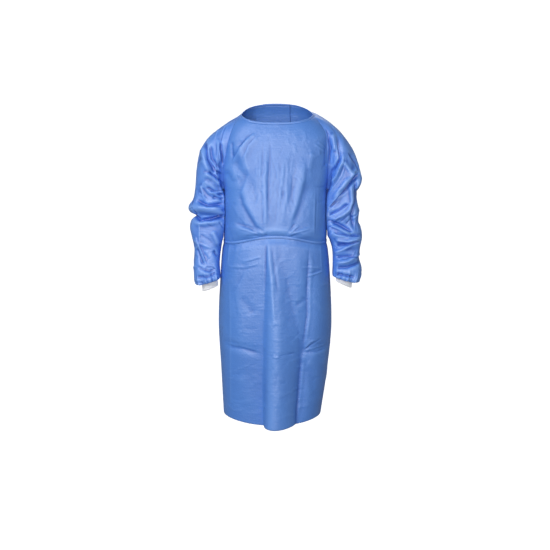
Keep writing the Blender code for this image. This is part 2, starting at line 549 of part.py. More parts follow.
class Sleeve:
    """One raglan sleeve: the rings of its tube and the seam that it shares with the body."""

    def __init__(self, side, rings, folds):
        """side is 1 for the wearer's left sleeve, on +X, and -1 for the right one."""
        self.side = side
        self.folds = folds
        seam = self.armhole()
        self.grid = self.loft(seam, rings)
        self.normals = self.ring_normals()
        body = form_normal(form, self.seam_levels, self.seam_angles)
        self.seam_normals = unit(body + self.normals[0])
        self.normals[0] = self.seam_normals

    def armhole(self):
        """Points of the armhole: down the front seam, up the back seam, along the neck edge."""
        levels = np.linspace(0.0, UNDERARM_LEVEL, YOKE_STEPS + 1)
        front, back = front_edge(levels), back_edge(levels)
        neck = np.linspace(back[0], front[0], NECK_STRETCH_STEPS + 1)[1:-1]
        self.seam_levels = np.concatenate([levels, levels[-2::-1], np.zeros(len(neck))])
        self.seam_angles = self.side * np.concatenate([front, back[-2::-1], neck])
        return form(self.seam_levels, self.seam_angles)

    def ring_angles(self):
        """Angles of a ring's points, from the outer side towards the front."""
        seam = np.linspace(NECK_HALF_ANGLE, 360.0 - NECK_HALF_ANGLE, 2 * YOKE_STEPS + 1)
        neck = np.linspace(-NECK_HALF_ANGLE, NECK_HALF_ANGLE, NECK_STRETCH_STEPS + 1)[1:-1]
        return np.concatenate([seam, neck % 360.0])

    def loft(self, seam, rings):
        """Grid of the sleeve's outer points, ring by ring from the armhole."""
        turn = np.radians(self.ring_angles())
        flip = np.array([self.side, 1.0, 1.0])
        start = seam * flip
        top = start[-(NECK_STRETCH_STEPS // 2)]
        bottom = start[YOKE_STEPS]
        half = (top - bottom)[[0, 2]] / 2
        middle = (top + bottom)[[0, 2]] / 2
        flat = start[:, [0, 2]] - middle
        up = flat @ half / (half @ half)
        aside = flat @ np.array([half[1], -half[0]]) / np.hypot(*half)
        ahead = -(start[:, 1]) / ARMHOLE_HALF_DEPTH
        grid = [start]
        for number, ring in enumerate(rings):
            rounding = ROUNDING[number] if number < len(ROUNDING) else 1.0
            outer = np.array([ring.outer_x, ring.outer_z])
            inner = np.array([ring.inner_x, ring.inner_z])
            centre, reach = (outer + inner) / 2, (outer - inner) / 2
            off = np.array([reach[1], -reach[0]]) / np.hypot(*reach)
            square = RING_SQUARENESS * math.sin(math.pi * number / (len(rings) - 1))
            a = up * (1 - rounding) + self.ring_share(np.cos, -square, turn) * rounding
            b = ahead * (1 - rounding) + self.ring_share(np.sin, square, turn) * rounding
            place = centre + np.outer(a, reach) + np.outer(aside * (1 - rounding), off)
            y = ring.centre_y * min(1.0, rounding + FORWARD_AT_ARMHOLE) - b * ring.half_depth
            grid.append(np.stack([place[:, 0], y, place[:, 1]], axis=-1))
        grid = np.array(grid)
        grid = (grid + self.fold_moves(grid)) * flip
        self.lift_off(grid, up)
        return self.clear_of_body(grid)

    def ring_share(self, wave, square, turn):
        """The cosine or sine of a circle that is squared a little."""
        return (wave(turn) + square * wave(3 * turn)) / (1 - abs(square))

    def lift_off(self, grid, up):
        """Leads the first rings away from the body below the arm."""
        body = form_normal(form, self.seam_levels, self.seam_angles)
        under = ease(0.0, LIFT_OFF_SHARE, -up)
        for number, least in enumerate(LIFT_OFF):
            off = np.sum((grid[number + 1] - grid[0]) * body, axis=-1)
            grid[number + 1] += body * np.maximum(0.0, least * under - off)[:, None]

    def clear_of_body(self, grid):
        """Presses the tube flat where it would touch the side of the body."""
        grid = grid.copy()
        tube = grid[len(LIFT_OFF) :]
        for _ in range(CLEAR_PASSES):
            level = level_at(tube[..., 2], 90.0)
            half = np.abs(plain_form(level, 90.0 * self.side)[..., 0])
            depth = smooth(SECTIONS, "front", level)
            angle = np.degrees(np.arctan2(tube[..., 0] / half, -tube[..., 1] / depth))
            skin, out = form(level, angle), form_normal(form, level, angle)
            gap = np.sum((tube - skin) * out, axis=-1)
            short = np.maximum(0.0, SIDE_CLEARANCE - gap) * (tube[..., 2] < CLEAR_BELOW)
            tube += out * short[..., None]
        return grid

    def fold_moves(self, grid):
        """Moves that press the folds and the wrist gathers into the rings."""
        rings = len(grid)
        number = np.arange(rings)[:, None] * np.ones(grid.shape[1])
        angle = np.ones((rings, 1)) * self.ring_angles()
        centre = grid.mean(axis=1, keepdims=True)
        out = unit(grid - centre)
        radius = np.linalg.norm(grid - centre, axis=-1)
        pitch = np.linalg.norm(np.diff(centre[:, 0], axis=0), axis=-1).mean()
        height = np.zeros_like(radius)
        for row in self.folds:
            turn_along = np.radians(row.angle_to - row.angle_from)
            along = np.array([turn_along * FOLD_RADIUS, (row.ring_to - row.ring_from) * pitch])
            length = np.hypot(*along)
            across = np.radians(angle - row.angle_from) * FOLD_RADIUS
            down = (number - row.ring_from) * pitch
            f = (across * along[0] + down * along[1]) / length**2
            off = (across * along[1] - down * along[0]) / length
            height += row.height * fade_ends(f) * np.exp(-((off / row.half_width) ** 2))
        last = rings - 1
        fade = ease(last - GATHER_TOP, last - GATHER_FULL, number)
        fade = fade * ease(last - GATHER_END + 1.0, last - GATHER_END - 1.0, number)
        height += GATHER_HEIGHT * fade * np.sin(np.radians(angle) * GATHER_WAVES)
        height[: len(FOLD_SHARE_AT_ARMHOLE)] *= np.array(FOLD_SHARE_AT_ARMHOLE)[:, None]
        clear = 1.0 - ease(*INNER_SIDE, -np.cos(np.radians(angle)))
        return out * (height * clear)[..., None]

    def ring_normals(self):
        """Outward directions of the tube at its points."""
        grid = self.grid
        around = np.roll(grid, -1, axis=1) - np.roll(grid, 1, axis=1)
        down = np.gradient(grid, axis=0)
        return unit(np.cross(around, down)) * self.side

    def seam_normal_front(self):
        """Shared seam directions down the front seam, from neck to underarm."""
        return self.seam_normals[: YOKE_STEPS + 1]

    def seam_normal_back(self):
        """Shared seam directions down the back seam, from neck to underarm."""
        return self.seam_normals[YOKE_STEPS : 2 * YOKE_STEPS + 1][::-1]

    def build(self, name):
        """Makes the sleeve's wall."""
        outer = pull_in(pull_in(self.grid, 0, False), 0, True)
        make_wall(name, outer, -self.normals * CLOTH_WALL, True, SLEEVE_FINISH)

    def build_cuff(self, name, edge):
        """Makes the knitted cuff, from the sleeve's last ring to the cuff's lower edge."""
        turn = np.radians(self.ring_angles())
        outer = np.array([edge.outer_x, edge.centre_y, edge.outer_z])
        inner = np.array([edge.inner_x, edge.centre_y, edge.inner_z])
        centre, reach = (outer + inner) / 2, (outer - inner) / 2
        end = centre + np.outer(np.cos(turn), reach)
        end[:, 1] -= np.sin(turn) * edge.half_depth
        end = end * np.array([self.side, 1.0, 1.0])
        start = self.grid[-1] - (self.grid[-1] - self.grid[-1].mean(axis=0)) * CUFF_TUCK
        rows = [start + (end - start) * f for f in np.linspace(0.0, 1.0, CUFF_STEPS + 1)]
        grid = np.array(rows)
        around = np.roll(grid, -1, axis=1) - np.roll(grid, 1, axis=1)
        normals = unit(np.cross(around, np.gradient(grid, axis=0))) * self.side
        grid[0] += unit(grid[1] - grid[0]) * SEAM_GAP
        make_wall(name, grid, -normals * KNIT_WALL, True, KNIT_FINISH)


def build_front(left, right):
    """Makes the front panel, between the two raglan seams and the two side seams."""
    levels = cloth_levels()
    edge = front_edge(levels)
    angles = np.outer(edge, np.linspace(-1.0, 1.0, FRONT_STEPS + 1))
    grid_levels = levels[:, None] * np.ones(FRONT_STEPS + 1)
    outer = form(grid_levels, angles)
    normals = form_normal(form, grid_levels, angles)
    normals[: YOKE_STEPS + 1, -1] = left.seam_normal_front()
    normals[: YOKE_STEPS + 1, 0] = right.seam_normal_front()
    outer = pull_in(pull_in(outer, 1, False), 1, True)
    outer = pull_in(outer, 0, False)
    make_wall("front_panel", outer, -normals * CLOTH_WALL, False, CLOTH_FINISH)


def back_angles(level):
    """Angles of one row of a back panel, from its side seam to the lap and across the lap."""
    first, lap = back_edge(level), lap_angle(level)
    single = np.linspace(first, 180.0 - lap, BACK_STEPS + 1)
    double = np.linspace(180.0 - lap, 180.0 + lap, LAP_STEPS + 1)
    return np.concatenate([single, double[1:]])


def build_back(name, side, sleeve):
    """Makes one back panel. The left one laps over the right one and is lifted clear of it."""
    levels = cloth_levels()
    angles = side * np.array([back_angles(v) for v in levels])
    grid_levels = levels[:, None] * np.ones(angles.shape[1])
    outer = form(grid_levels, angles)
    normals = form_normal(form, grid_levels, angles)
    if side > 0:
        outer = outer + normals * lap_lift(grid_levels, angles)[..., None]
    normals[: YOKE_STEPS + 1, 0] = sleeve.seam_normal_back()
    outer = pull_in(pull_in(outer, 1, False), 0, False)
    make_wall(name, outer, -normals * CLOTH_WALL, False, CLOTH_FINISH)


def neck_angles():
    """Angles along the neck binding, from the right back edge round the front to the left."""
    front, back = front_edge(0.0), back_edge(0.0)
    half = np.concatenate([
        np.linspace(0.0, front, FRONT_STEPS // 2 + 1),
        np.linspace(front, back, NECK_STRETCH_STEPS + 1)[1:],
        back_angles(0.0)[1:],
    ])
    return np.concatenate([-half[::-1], half[1:]])


def build_binding():
    """Makes the binding that edges the neck opening. Its ends lap at centre back."""
    angles = neck_angles()
    levels = np.zeros_like(angles)
    edge = form(levels, angles)
    normal = form_normal(form, levels, angles)
    up = unit(edge - form(levels + NORMAL_STEP, angles))
    lift = np.where(angles > 0, lap_lift(levels, angles), 0.0)
    edge = edge + normal * (lift + BINDING_PROUD)[:, None]
    widths = SEAM_GAP / 2 + BINDING_WIDTH * np.linspace(0.0, 1.0, BINDING_STEPS + 1)
    rows = [edge + up * width for width in widths]
    inward = -np.array([normal] * len(rows)) * BINDING_THICKNESS
    make_wall("neck_binding", np.array(rows), inward, False, TIE_FINISH)


def build_neck_tab():
    """Makes the tab that is sewn to the left back panel and grips the right one."""
    level = cloth_levels()[list(TAB_ROWS)][:, None]
    edge = 180.0 + lap_angle(level)
    per_metre = lap_angle(level) / LAP_AT_NECK
    reach = np.linspace(-TAB_SEWN, TAB_LOOSE, TAB_COLUMNS + 1)
    angle = edge + reach * per_metre
    level = level * np.ones_like(angle)
    normal = form_normal(form, level, angle)
    lift = LAP_LIFT * ease(TAB_STEP_DOWN, TAB_STEP_FROM, reach) + TIE_SEAT + TAB_THICKNESS
    outer = form(level, angle) + normal * (lift * np.ones_like(angle))[..., None]
    make_wall("neck_tab", outer, -normal * TAB_THICKNESS, False, TIE_FINISH)


def tie_angles(level):
    """Angles along the waist tie, from the knot's right side round the front to its left side."""
    knot = 180.0 - angle_behind(level, KNOT_RADII[0] + SEAM_GAP)
    half_front = front_edge(level) * np.linspace(0.0, 1.0, FRONT_STEPS // 2 + 1)
    behind = back_angles(level)[1 : BACK_STEPS + LAP_STEPS // 2]
    half = np.concatenate([half_front, behind, [180.0 - knot]])
    return np.concatenate([-half[::-1], half[1:]])


def build_waist_tie():
    """Makes the tie that is sewn to the middle of the front and runs round both sides."""
    tie_top, tie_bottom = WAIST_LEVEL - TIE_HALF_LEVEL, WAIST_LEVEL + TIE_HALF_LEVEL
    edges = []
    for level in (tie_top, tie_bottom):
        angles = tie_angles(level)
        levels = np.full_like(angles, level)
        normal = form_normal(form, levels, angles)
        on_lap = np.abs(angles) > 180.0 - TIE_LAP_REACH * lap_angle(level)
        lift = np.where(angles > 0, lap_lift(levels, angles), LAP_LIFT * on_lap) + TIE_SEAT
        edges.append((form(levels, angles) + normal * lift[:, None], normal))
    (top, top_normal), (bottom, bottom_normal) = edges
    middle_normal = unit(top_normal + bottom_normal)
    inner = np.array([top, (top + bottom) / 2, bottom])
    thickness = np.array([TIE_THICKNESS, TIE_THICKNESS + TIE_CROWN, TIE_THICKNESS])
    out = np.array([top_normal, middle_normal, bottom_normal]) * thickness[:, None, None]
    make_wall("waist_tie", inner + out, -out, False, TIE_FINISH)


def build_knot():
    """Makes the knot of the waist tie, seated on the left back panel. Returns its lowest height."""
    radii = np.array(KNOT_RADII)
    centre = form(WAIST_LEVEL, 180.0)
    points, faces = [], []
    for i in range(1, KNOT_RINGS):
        tilt = math.pi * i / KNOT_RINGS
        for j in range(KNOT_SIDES):
            turn = 2 * math.pi * j / KNOT_SIDES
            across, ahead = math.sin(tilt) * math.cos(turn), math.sin(tilt) * math.sin(turn)
            ball = np.array([across, ahead, math.cos(tilt)])
            points.append(centre + radii * np.sign(ball) * np.abs(ball) ** KNOT_SQUARENESS)
    points.append(centre + radii * np.array([0.0, 0.0, 1.0]))
    points.append(centre - radii * np.array([0.0, 0.0, 1.0]))
    top, bottom, last = len(points) - 2, len(points) - 1, (KNOT_RINGS - 2) * KNOT_SIDES
    for j in range(KNOT_SIDES):
        k = (j + 1) % KNOT_SIDES
        faces.append((top, j, k))
        faces.append((bottom, last + k, last + j))
        for i in range(KNOT_RINGS - 2):
            row = i * KNOT_SIDES
            faces.append((row + j, row + j + KNOT_SIDES, row + k + KNOT_SIDES, row + k))
    points = np.array(points)
    level = level_at(points[:, 2], 180.0)
    angle = angle_behind(level, points[:, 0])
    seat = form(level, angle) + form_normal(form, level, angle) * (LAP_LIFT + TIE_SEAT)
    points[:, 1] += np.max(seat[:, 1] - points[:, 1])
    make_object("waist_knot", points, faces, TIE_FINISH)
    return centre[2] - radii[2]


def build_tie_end(end, knot_z):
    """Makes one hanging end of the waist tie, from the knot's underside down the back."""
    along = np.linspace(0.0, 1.0, TIE_END_STEPS + 1)
    level = level_at(knot_z - end.length * along, 180.0)
    x_middle = end.x_from + (end.x_to - end.x_from) * ease(0.0, TIE_END_SPREAD, along)
    narrow, wide = TIE_END_HALF_WIDTH
    half = narrow + (wide - narrow) * ease(0.0, TIE_END_OPENS, along)
    wave = TIE_END_WAVE * np.sin(np.pi * along) ** 2
    from_knot = KNOT_RADII[1] * KNOT_TURN_DOWN * ease(TIE_END_SETTLES, 0.0, along)
    lift = LAP_LIFT + TIE_END_OFF_PANEL + wave + from_knot
    rows = []
    for side in (-1.0, 1.0):
        angle = angle_behind(level, x_middle + side * half)
        normal = form_normal(form, level, angle)
        rows.append(form(level, angle) + normal * (lift + TIE_THICKNESS)[:, None])
    rows = np.array(rows)
    rows[..., 2] += knot_z - SEAM_GAP - rows[:, 0, 2].max()
    inward = np.array([0.0, -TIE_THICKNESS, 0.0]) * np.ones_like(rows)
    make_wall(end.name, rows, inward, False, TIE_FINISH)


def main():
    """Builds every piece of the gown."""
    clear_scene()
    left = Sleeve(1, LEFT_RINGS, LEFT_FOLDS)
    right = Sleeve(-1, RIGHT_RINGS, RIGHT_FOLDS)
    build_front(left, right)
    build_back("back_panel_left", 1, left)
    build_back("back_panel_right", -1, right)
    left.build("sleeve_left")
    right.build("sleeve_right")
    left.build_cuff("cuff_left", LEFT_CUFF_EDGE)
    right.build_cuff("cuff_right", RIGHT_CUFF_EDGE)
    build_binding()
    build_neck_tab()
    build_waist_tie()
    knot_z = build_knot()
    for end in TIE_ENDS:
        build_tie_end(end, knot_z)


main()
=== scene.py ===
"""Looks of a worn surgical gown: thin blue nonwoven shells on the frame's solids.

Metres, +Z up, in the frame's own axes: the front faces -Y, the wearer's right arm is on -X, and
the origin lies in the middle of the neck opening. A closed line runs round the body at every
level, from the neck edge (level 0) by the underarm (1) and the waist tie (2) to the hem (4). An
angle gives the place on that line: 0 at centre front, 90 at the wearer's left, 180 at centre back.
"""

import logging
import math
from dataclasses import dataclass, field
from enum import Enum
from typing import Callable, NamedTuple, Sequence

import bpy
import numpy as np
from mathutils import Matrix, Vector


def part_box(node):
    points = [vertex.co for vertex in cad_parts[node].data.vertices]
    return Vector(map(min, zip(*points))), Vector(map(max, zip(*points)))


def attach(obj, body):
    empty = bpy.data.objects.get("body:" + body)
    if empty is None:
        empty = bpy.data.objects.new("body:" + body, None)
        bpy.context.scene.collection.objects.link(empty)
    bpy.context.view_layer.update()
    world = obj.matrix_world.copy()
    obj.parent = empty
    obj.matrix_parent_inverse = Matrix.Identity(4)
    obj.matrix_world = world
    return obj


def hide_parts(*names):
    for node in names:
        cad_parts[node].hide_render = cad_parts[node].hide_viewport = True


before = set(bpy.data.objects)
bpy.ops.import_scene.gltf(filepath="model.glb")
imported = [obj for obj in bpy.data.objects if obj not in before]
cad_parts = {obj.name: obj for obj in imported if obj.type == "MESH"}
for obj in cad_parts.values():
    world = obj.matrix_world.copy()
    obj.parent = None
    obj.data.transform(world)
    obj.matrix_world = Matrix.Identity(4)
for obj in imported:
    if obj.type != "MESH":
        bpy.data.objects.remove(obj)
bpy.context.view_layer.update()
LOG = logging.getLogger("gown")

Grid = np.ndarray
UNDERARM, WAIST, HEM = 1.0, 2.0, 4.0
SHELL = 0.0005
# Distances in grid points at which a cloth is compared with its surroundings, and their strengths; the result
# is painted as highlight on ridges and shade in hollows
PAINTED_SHADE_REACHES = ((1, 350.0), (2, 420.0), (5, 150.0))


class Section(NamedTuple):
    """One closed line round the body: half widths, depths and heights."""

    level: float
    right: float
    left: float
    front: float
    back: float
    front_z: float
    side_z: float
    back_z: float
    dip: float


class Seam(NamedTuple):
    """Angles at which the front panel ends and a back panel starts."""

    level: float
    front: float
    back: float


class SkirtFold(NamedTuple):
    """The rounded fold down the middle of the skirt, at one height."""

    z: float
    right_foot: float
    left_foot: float
    rise: float
    drop: float
    power: float


class Ring(NamedTuple):
    """One ring of a sleeve, seen from the front, with x outwards from the body's middle."""

    outer_x: float
    outer_z: float
    inner_x: float
    inner_z: float
    centre_y: float
    half_depth: float


class SleeveFold(NamedTuple):
    """A broad fold on a sleeve, from one ring and angle to another."""

    ring_from: float
    angle_from: float
    ring_to: float
    angle_to: float
    half_width: float
    height: float


class BroadFold(NamedTuple):
    """A soft ridge or trough along a straight line seen from its own side."""

    x_from: float
    z_from: float
    x_to: float
    z_to: float
    half_width: float
    height: float


class Profile(Enum):
    """Cross-section of a crease."""

    SOFT = "soft"
    SHARP = "sharp"
    LIP = "lip"


SOFT, SHARP, LIP = Profile


@dataclass(frozen=True)
class Crease:
    """A ridge (height above 0) or trough (below 0) along a line of (x, z) points."""

    line: tuple[tuple[float, float], ...]
    width: float
    height: float
    profile: Profile = Profile.SOFT

    def relief(self, x: Grid, z: Grid) -> Grid:
        """Height of the crease at places seen from its own side.

        Args:
            x: first coordinate of every place.
            z: second coordinate of every place.

        Returns:
            The height at every place.
        """
        points = np.array(self.line)
        spans = np.hypot(*np.diff(points, axis=0).T)
        starts = np.concatenate([[0.0], np.cumsum(spans)])
        nearest = np.full(x.shape, np.inf)
        off, share = np.zeros(x.shape), np.zeros(x.shape)
        for i, span in enumerate(spans):
            run = (points[i + 1] - points[i]) / span
            dx, dz = x - points[i, 0], z - points[i, 1]
            along = np.clip(dx * run[0] + dz * run[1], 0.0, span)
            far = np.hypot(dx - along * run[0], dz - along * run[1])
            side = np.sign(dx * run[1] - dz * run[0])
            closer = far < nearest
            nearest = np.where(closer, far, nearest)
            off = np.where(closer, far * side, off)
            share = np.where(closer, (starts[i] + along) / starts[-1], share)
        ends = ease(0.0, 0.22, share) * ease(1.0, 0.78, share)
        return self.height * ends * self.shape(off / self.width)

    def shape(self, off: Grid) -> Grid:
        """Share of the full height at a signed distance, in widths, from the line."""
        if self.profile is Profile.SHARP:
            return np.exp(-1.5 * np.abs(off))
        if self.profile is Profile.LIP:
            return np.where(off > 0.0, np.exp(-((off / 0.35) ** 2)), np.exp(-((off / 1.3) ** 2)))
        return np.exp(-(off**2))


@dataclass(frozen=True)
class Crumple:
    """Many small uneven creases scattered over a rectangle, the same ones on every run."""

    seed: int
    count: int
    low: tuple[float, float]
    high: tuple[float, float]
    heading: float
    spread: float
    length: tuple[float, float]
    width: tuple[float, float]
    height: float

    def creases(self) -> list[Crease]:
        """The scattered creases, each bent a little in its middle."""
        rng = np.random.default_rng(self.seed)
        found = []
        for _ in range(self.count):
            start = rng.uniform(self.low, self.high)
            turn = math.radians(self.heading + self.spread * rng.normal())
            reach = rng.uniform(*self.length)
            step = np.array([math.cos(turn), math.sin(turn)]) * reach
            bend = np.array([-step[1], step[0]]) * rng.uniform(-0.18, 0.18)
            line = (tuple(start), tuple(start + step / 2 + bend), tuple(start + step))
            height = self.height * rng.uniform(0.35, 1.0) * rng.choice([-1.0, 1.0])
            profile = Profile.LIP if rng.random() < 0.4 else Profile.SOFT
            found.append(Crease(line, rng.uniform(*self.width), height, profile))
        return found


def crease_table(*rows: tuple) -> list[Crease]:
    """Creases from rows of profile, width in mm, height in 0.1 mm and each point's x and z in mm."""
    table = []
    for profile, width, height, *line in rows:
        points = tuple((x / 1000, z / 1000) for x, z in zip(line[::2], line[1::2]))
        table.append(Crease(points, width / 1000, height / 10000, profile))
    return table


SECTIONS = [Section(*row) for row in (
    (0.0, 0.131, 0.143, 0.093, 0.085, -0.031, -0.001, 0.034, 2.0),
    (0.15, 0.156, 0.17, 0.102, 0.098, -0.062, -0.022, -0.002, 2.2),
    (0.35, 0.18, 0.199, 0.111, 0.108, -0.108, -0.068, -0.058, 2.6),
    (0.6, 0.193, 0.199, 0.12, 0.115, -0.165, -0.137, -0.13, 3.0),
    (0.8, 0.196, 0.197, 0.127, 0.118, -0.213, -0.2, -0.196, 3.0),
    (1.0, 0.189, 0.189, 0.132, 0.119, -0.268, -0.268, -0.268, 3.0),
    (1.5, 0.19, 0.19, 0.142, 0.117, -0.352, -0.364, -0.362, 6.0),
    (1.85, 0.191, 0.19, 0.145, 0.116, -0.404, -0.43, -0.428, 9.0),
    (2.0, 0.191, 0.188, 0.138, 0.112, -0.43, -0.457, -0.455, 9.0),
    (2.15, 0.197, 0.194, 0.148, 0.121, -0.462, -0.487, -0.486, 9.0),
    (2.5, 0.205, 0.203, 0.155, 0.138, -0.576, -0.59, -0.588, 6.0),
    (3.0, 0.213, 0.21, 0.156, 0.148, -0.754, -0.76, -0.758, 3.0),
    (3.5, 0.205, 0.196, 0.15, 0.15, -0.934, -0.934, -0.932, 3.0),
    (4.0, 0.197, 0.172, 0.146, 0.147, -1.127, -1.107, -1.108, 6.0),
)]
RAGLAN_SEAMS = [Seam(*row) for row in (
    (0.0, 74.0, 128.0),
    (0.15, 67.0, 134.0),
    (0.35, 62.0, 128.0),
    (0.6, 65.0, 117.0),
    (0.8, 72.0, 103.0),
    (1.0, 84.0, 84.0),
)]
SIDE_SEAMS = [Seam(*row) for row in (
    (1.0, 84.0, 84.0),
    (1.5, 77.0, 77.0),
    (2.0, 71.0, 71.0),
    (4.0, 70.0, 70.0),
)]
SKIRT_FOLD = [SkirtFold(*row) for row in (
    (-0.436, -0.034, 0.006, 0.0, 0.0, 1.6),
    (-0.55, -0.036, 0.036, 0.008, 0.0, 1.6),
    (-0.65, -0.039, 0.056, 0.015, 0.0, 1.5),
    (-0.84, -0.043, 0.088, 0.027, 0.001, 1.3),
    (-1.0, -0.044, 0.083, 0.037, 0.003, 1.0),
    (-1.12, -0.044, 0.073, 0.046, 0.006, 0.65),
)]
FOLD_LEAN = 0.65
# Where the front's painted fold shade is weak: beside the fold's right foot, and on the taut cloth over the
# tie, which gets a painted highlight too
FOOT_SHIFT, FOOT_HALF_WIDTH = -0.004, 0.022
FOOT_STARTS = (-0.50, -0.66)
TAUT_MIDDLE, TAUT_HALF_SIZE = (0.004, -0.420), (0.048, 0.026)
# The second number is the strength of the painted highlight over the tie
CALM_SHARE, TIE_PAINTED_HIGHLIGHT = 0.85, 0.90

# Broad folds that the solids have too
FRONT_FOLDS = [BroadFold(*row) for row in (
    (-0.06, -0.15, -0.03, -0.4, 0.022, 0.004),
    (-0.028, -0.13, -0.022, -0.38, 0.016, -0.0014),
    (0.03, -0.15, 0.016, -0.4, 0.02, 0.003),
    (0.075, -0.13, 0.036, -0.41, 0.022, -0.0014),
    (-0.165, -0.12, -0.085, -0.26, 0.022, -0.005),
    (-0.13, -0.11, -0.105, -0.2, 0.018, 0.004),
    (0.16, -0.15, 0.12, -0.29, 0.024, -0.0035),
    (-0.16, -0.395, -0.05, -0.432, 0.018, 0.0045),
    (0.15, -0.4, 0.05, -0.436, 0.018, 0.004),
    (-0.15, -0.52, -0.12, -0.9, 0.035, 0.004),
    (0.122, -0.5, 0.11, -0.76, 0.022, -0.005),
    (0.105, -0.76, 0.08, -1.1, 0.022, -0.006),
    (0.15, -0.65, 0.13, -1.06, 0.03, 0.0015),
    (-0.19, -0.818, -0.05, -0.85, 0.016, -0.0035),
    (0.095, -0.848, 0.19, -0.828, 0.016, -0.0035),
)]
BACK_FOLDS = [BroadFold(*row) for row in (
    (-0.12, -0.06, -0.09, -0.3, 0.026, 0.005),
    (0.125, -0.07, 0.095, -0.32, 0.026, 0.0045),
    (-0.15, -0.15, -0.1, -0.42, 0.024, -0.0045),
    (0.15, -0.18, 0.11, -0.43, 0.024, -0.004),
    (-0.06, -0.34, -0.045, -0.445, 0.018, 0.004),
    (0.08, -0.33, 0.06, -0.445, 0.018, 0.004),
    (-0.115, -0.47, -0.14, -1.0, 0.034, 0.01),
    (0.12, -0.47, 0.13, -1.06, 0.036, 0.009),
    (-0.075, -0.48, -0.09, -1.09, 0.024, -0.006),
    (0.09, -0.56, 0.09, -1.1, 0.024, -0.0055),
    (-0.18, -0.56, -0.175, -1.0, 0.026, -0.005),
    (0.18, -0.52, 0.165, -1.02, 0.026, -0.005),
)]

# Fine creases of the front, chest first, then waist and skirt
FRONT_CREASES = crease_table(
    (LIP, 9, 30, -70, -56, -105, -90, -138, -125),
    (LIP, 9, 36, -90, -68, -125, -115, -158, -172),
    (LIP, 8, 26, -60, -68, -95, -105, -118, -160),
    (SOFT, 6, -36, -157, -88, -153, -150),
    (SOFT, 7, -50, -176, -100, -184, -140),
    (SOFT, 13, -34, -186, -190, -158, -225, -112, -232),
    (SOFT, 9, 14, -160, -215, -125, -236),
    (LIP, 22, 46, -88, -190, -116, -272, -108, -306, -40, -424),
    (LIP, 22, 42, 44, -400, 76, -310, 98, -225, 104, -140),
    (SOFT, 12, -20, -128, -262, -118, -318, -56, -420),
    (SOFT, 17, 30, -64, -419, 0, -413, 72, -419),
    (SOFT, 14, -22, 66, -388, 94, -315, 118, -220),
    (SOFT, 4, -16, -44, -80, -47, -170, -52, -270, -44, -424),
    (SOFT, 4, -18, -18, -70, -20, -150, -24, -230, -27, -330),
    (SOFT, 4, -12, -60, -120, -62, -200, -58, -300),
    (SOFT, 5, 14, -34, -100, -36, -260, -36, -420),
    (SOFT, 5, -13, 20, -150, 10, -260, -4, -400),
    (SOFT, 6, -14, 40, -150, 30, -250, 12, -400),
    (SOFT, 7, 12, 62, -130, 50, -240, 26, -360),
    (SHARP, 5, 24, 138, -100, 178, -130),
    (SHARP, 5, 20, 150, -92, 182, -118),
    (SOFT, 6, -34, 183, -95, 179, -189),
    (SOFT, 12, 26, 130, -125, 119, -195),
    (SHARP, 5, 22, 142, -256, 138, -440),
    (SHARP, 4, -14, 147, -262, 143, -430),
    (SHARP, 5, -16, 138, -252, 186, -252),
    (LIP, 5, 22, -140, -398, -100, -407, -44, -424),
    (SHARP, 4, -22, -112, -427, -54, -421),
    (LIP, 5, 28, -85, -400, -38, -421),
    (SOFT, 6, -24, -150, -378, -100, -392, -54, -415),
    (SHARP, 4, -20, -68, -388, -40, -414),
    (LIP, 5, 26, 40, -424, 80, -412, 128, -400),
    (LIP, 4, 22, 46, -420, 84, -388),
    (SOFT, 4, -22, 44, -418, 70, -378),
    (SHARP, 4, -18, 52, -424, 100, -420),
    (SOFT, 4, -40, -33, -436, -32, -416),
    (SHARP, 3, 16, -41, -470, -42, -540, -43, -860),
    (SHARP, 4, -8, -37, -500, -38, -860),
    (SHARP, 3, 12, -46, -845, -47, -1122),
    (SHARP, 4, 13, -182, -538, -112, -538, -50, -522),
    (SOFT, 5, -9, -178, -545, -112, -546, -54, -531),
    (LIP, 5, 18, -118, -521, -50, -499),
    (SHARP, 6, 22, -162, -430, -174, -545),
    (SHARP, 6, 16, -168, -560, -164, -700, -166, -1100),
    (LIP, 5, 14, -190, -822, -118, -829, -60, -846, -42, -853),
    (SOFT, 6, -13, -180, -834, -118, -838, -60, -855),
    (SHARP, 4, -12, -48, -850, 0, -858, 98, -846),
    (LIP, 4, 24, -14, -858, 0, -863, 16, -860),
    (SHARP, 5, -26, 124, -440, 118, -496, 112, -633, 114, -711, 96, -850),
    (SOFT, 6, 20, 132, -470, 124, -620, 124, -711, 106, -846),
    (SHARP, 4, -22, 95, -842, 82, -1005, 71, -1124),
    (SOFT, 6, 18, 104, -858, 92, -1005, 82, -1110),
    (SHARP, 4, 18, 88, -537, 164, -542),
    (LIP, 4, 22, 107, -574, 178, -556),
    (SOFT, 5, -16, 112, -566, 170, -550),
    (LIP, 4, 18, 98, -848, 140, -838, 192, -827),
    (SHARP, 4, -22, 101, -843, 135, -820, 170, -802),
    (LIP, 4, 18, 103, -840, 128, -815, 145, -806),
    (SOFT, 5, -16, 103, -852, 150, -852, 185, -846),
    (SHARP, 5, 20, 161, -448, 167, -560),
    (SOFT, 6, 26, -26, -444, -24, -500, -14, -600, -4, -760),
    (SOFT, 3, -22, -34, -446, -36, -560),
    (SOFT, 5, -22, -14, -446, -4, -540, 10, -640),
    (SOFT, 16, -18, -130, -642, -74, -711),
    (SOFT, 9, -20, 72, -680, 112, -645),
    (SOFT, 24, 20, -130, -930, -100, -1060),
    (SOFT, 18, -22, 118, -890, 150, -1040),
)
